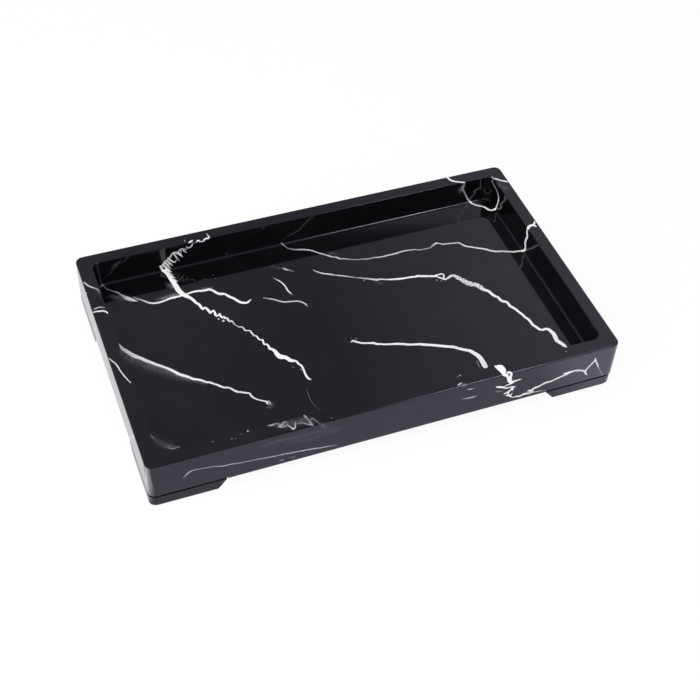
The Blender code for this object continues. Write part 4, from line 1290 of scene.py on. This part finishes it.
def hang_lamp(name, place, side, strength):
    """A soft square lamp that faces the tray, lights it to a given strength and doesn't show in gloss."""
    light = bpy.data.lights.new(name, "AREA")
    light.shape = "SQUARE"
    light.size = side
    light.energy = strength * LAMP_WATTS * place.length_squared
    light.color = FILL_TINT
    lamp = bpy.data.objects.new(name, light)
    lamp.matrix_world = Matrix.Translation(place) @ place.to_track_quat("Z", "Y").to_matrix().to_4x4()
    lamp.visible_camera = False
    lamp.visible_glossy = False
    bpy.context.scene.collection.objects.link(lamp)


def rectangle(edges):
    left, right, low, high = edges
    return (left, low), (right, low), (right, high), (left, high)


def set_card(name, outline, matrix, material):
    """A flat card that only gloss shows."""
    mesh = bpy.data.meshes.new(name)
    mesh.from_pydata([(x, y, 0.0) for x, y in outline], [], [range(len(outline))])
    mesh.materials.append(material)
    card = link_object(name, mesh)
    card.matrix_world = matrix
    card.visible_camera = False
    card.visible_diffuse = False
    card.visible_shadow = False


def set_softbox(studio):
    """The softbox at the front right, with its slanting upper edge, and the hot strip across it."""
    across = Vector((0, 0, 1)).cross(CARD_TOWARDS).normalized()
    upright = CARD_TOWARDS.cross(across)
    turned = Matrix((across, upright, CARD_TOWARDS)).transposed().to_4x4()
    outline = ((CARD_LEFT, CARD_LOW), (CARD_RIGHT, CARD_LOW),
               (CARD_RIGHT, CARD_HIGH + CARD_SLANT * CARD_RIGHT),
               (CARD_LEFT, CARD_HIGH + CARD_SLANT * CARD_LEFT))
    set_card("softbox", outline, Matrix.Translation(CARD_AIM + CARD_TOWARDS * CARD_DISTANCE) @ turned,
             card_material("softbox_light", studio.cool, studio.card, (CARD_LEFT, CARD_FADE)))
    hung = Matrix.Translation(CARD_AIM + CARD_TOWARDS * (CARD_DISTANCE - STRIP_STANDOFF))
    set_card("hot_strip", rectangle(STRIP_EDGES), hung @ turned,
             card_material("strip_light", studio.cool, studio.strip, STRIP_EDGES[:2]))


def set_reflectors(studio):
    """Cards on the floor: off the front left corner, by the left wall, before the front wall's right end."""
    on_floor = Matrix.Translation((0, 0, REFLECTOR_LIFT))
    right_fade = (RIGHT_REFLECTOR[0], RIGHT_REFLECTOR[0] + REFLECTOR_FADE)
    for name, outline, tint, strength, faint, fade in (
            ("corner_reflector", CORNER_OUTLINE, studio.neutral, studio.corner_reflector,
             studio.left_reflector, CORNER_FADE),
            ("left_reflector", rectangle(LEFT_REFLECTOR), studio.neutral, studio.left_reflector,
             studio.left_reflector, LEFT_REFLECTOR[:2]),
            ("right_reflector", rectangle(RIGHT_REFLECTOR), studio.cool, studio.right_reflector,
             studio.mirrored_floor, right_fade)):
        set_card(name, outline, on_floor, card_material(name, tint, strength, fade, faint))


class TRAY_OT_stage(bpy.types.Operator):
    """Lays the floor, lights the tray and sets the camera"""
    bl_idname = "tray.stage"
    bl_label = "Stage"

    def execute(self, context):
        studio = context.scene.tray_studio
        bm = bmesh.new()
        bmesh.ops.create_grid(bm, x_segments=1, y_segments=1, size=FLOOR_SIDE / 2)
        mesh = bpy.data.meshes.new("studio_floor")
        bm.to_mesh(mesh)
        bm.free()
        mesh.materials.append(floor_material(studio))
        link_object("studio_floor", mesh)
        light_world(studio)
        hang_lamp("overhead_fill", OVERHEAD_PLACE, OVERHEAD_SIDE, studio.fill)
        hang_lamp("side_fill", SIDE_FILL_PLACE, SIDE_FILL_SIDE, studio.side_fill)
        set_softbox(studio)
        set_reflectors(studio)

        lens = bpy.data.cameras.new("camera")
        lens.sensor_width = SENSOR / MM
        lens.lens = FOCAL_PIXELS * lens.sensor_width / PHOTO_SIDE
        lens.clip_start = CLIP_START
        camera = bpy.data.objects.new("camera", lens)
        camera.matrix_world = CameraRig().matrix()
        context.scene.collection.objects.link(camera)
        context.scene.camera = camera
        context.scene.view_settings.view_transform = "Standard"
        return {"FINISHED"}


class TRAY_PT_panel(bpy.types.Panel):
    """Lists the tray's sizes, colours and steps"""
    bl_idname = "TRAY_PT_panel"
    bl_label = "Acrylic bathroom tray"
    bl_space_type = "VIEW_3D"
    bl_region_type = "UI"
    bl_category = "Tray"

    def draw(self, context):
        for operator in OPERATORS:
            self.layout.operator(operator.bl_idname)
        for group in (context.scene.tray_sizes, context.scene.tray_colours, context.scene.tray_studio):
            column = self.layout.column()
            for name in group.__annotations__:
                column.prop(group, name)


GROUPS = {"tray_sizes": TraySizes, "tray_colours": TrayColours, "tray_studio": TrayStudio}
OPERATORS = (TRAY_OT_casting, TRAY_OT_feet, TRAY_OT_pads, TRAY_OT_stage)


def register():
    for cls in (*GROUPS.values(), *OPERATORS, TRAY_PT_panel):
        bpy.utils.register_class(cls)
    for name, cls in GROUPS.items():
        setattr(bpy.types.Scene, name, PointerProperty(type=cls))


def unregister():
    for name in GROUPS:
        delattr(bpy.types.Scene, name)
    for cls in reversed((*GROUPS.values(), *OPERATORS, TRAY_PT_panel)):
        bpy.utils.unregister_class(cls)


def main():
    register()
    bpy.ops.tray.casting()
    bpy.ops.tray.feet()
    bpy.ops.tray.pads()
    bpy.ops.tray.stage()


if __name__ == "__main__":
    main()
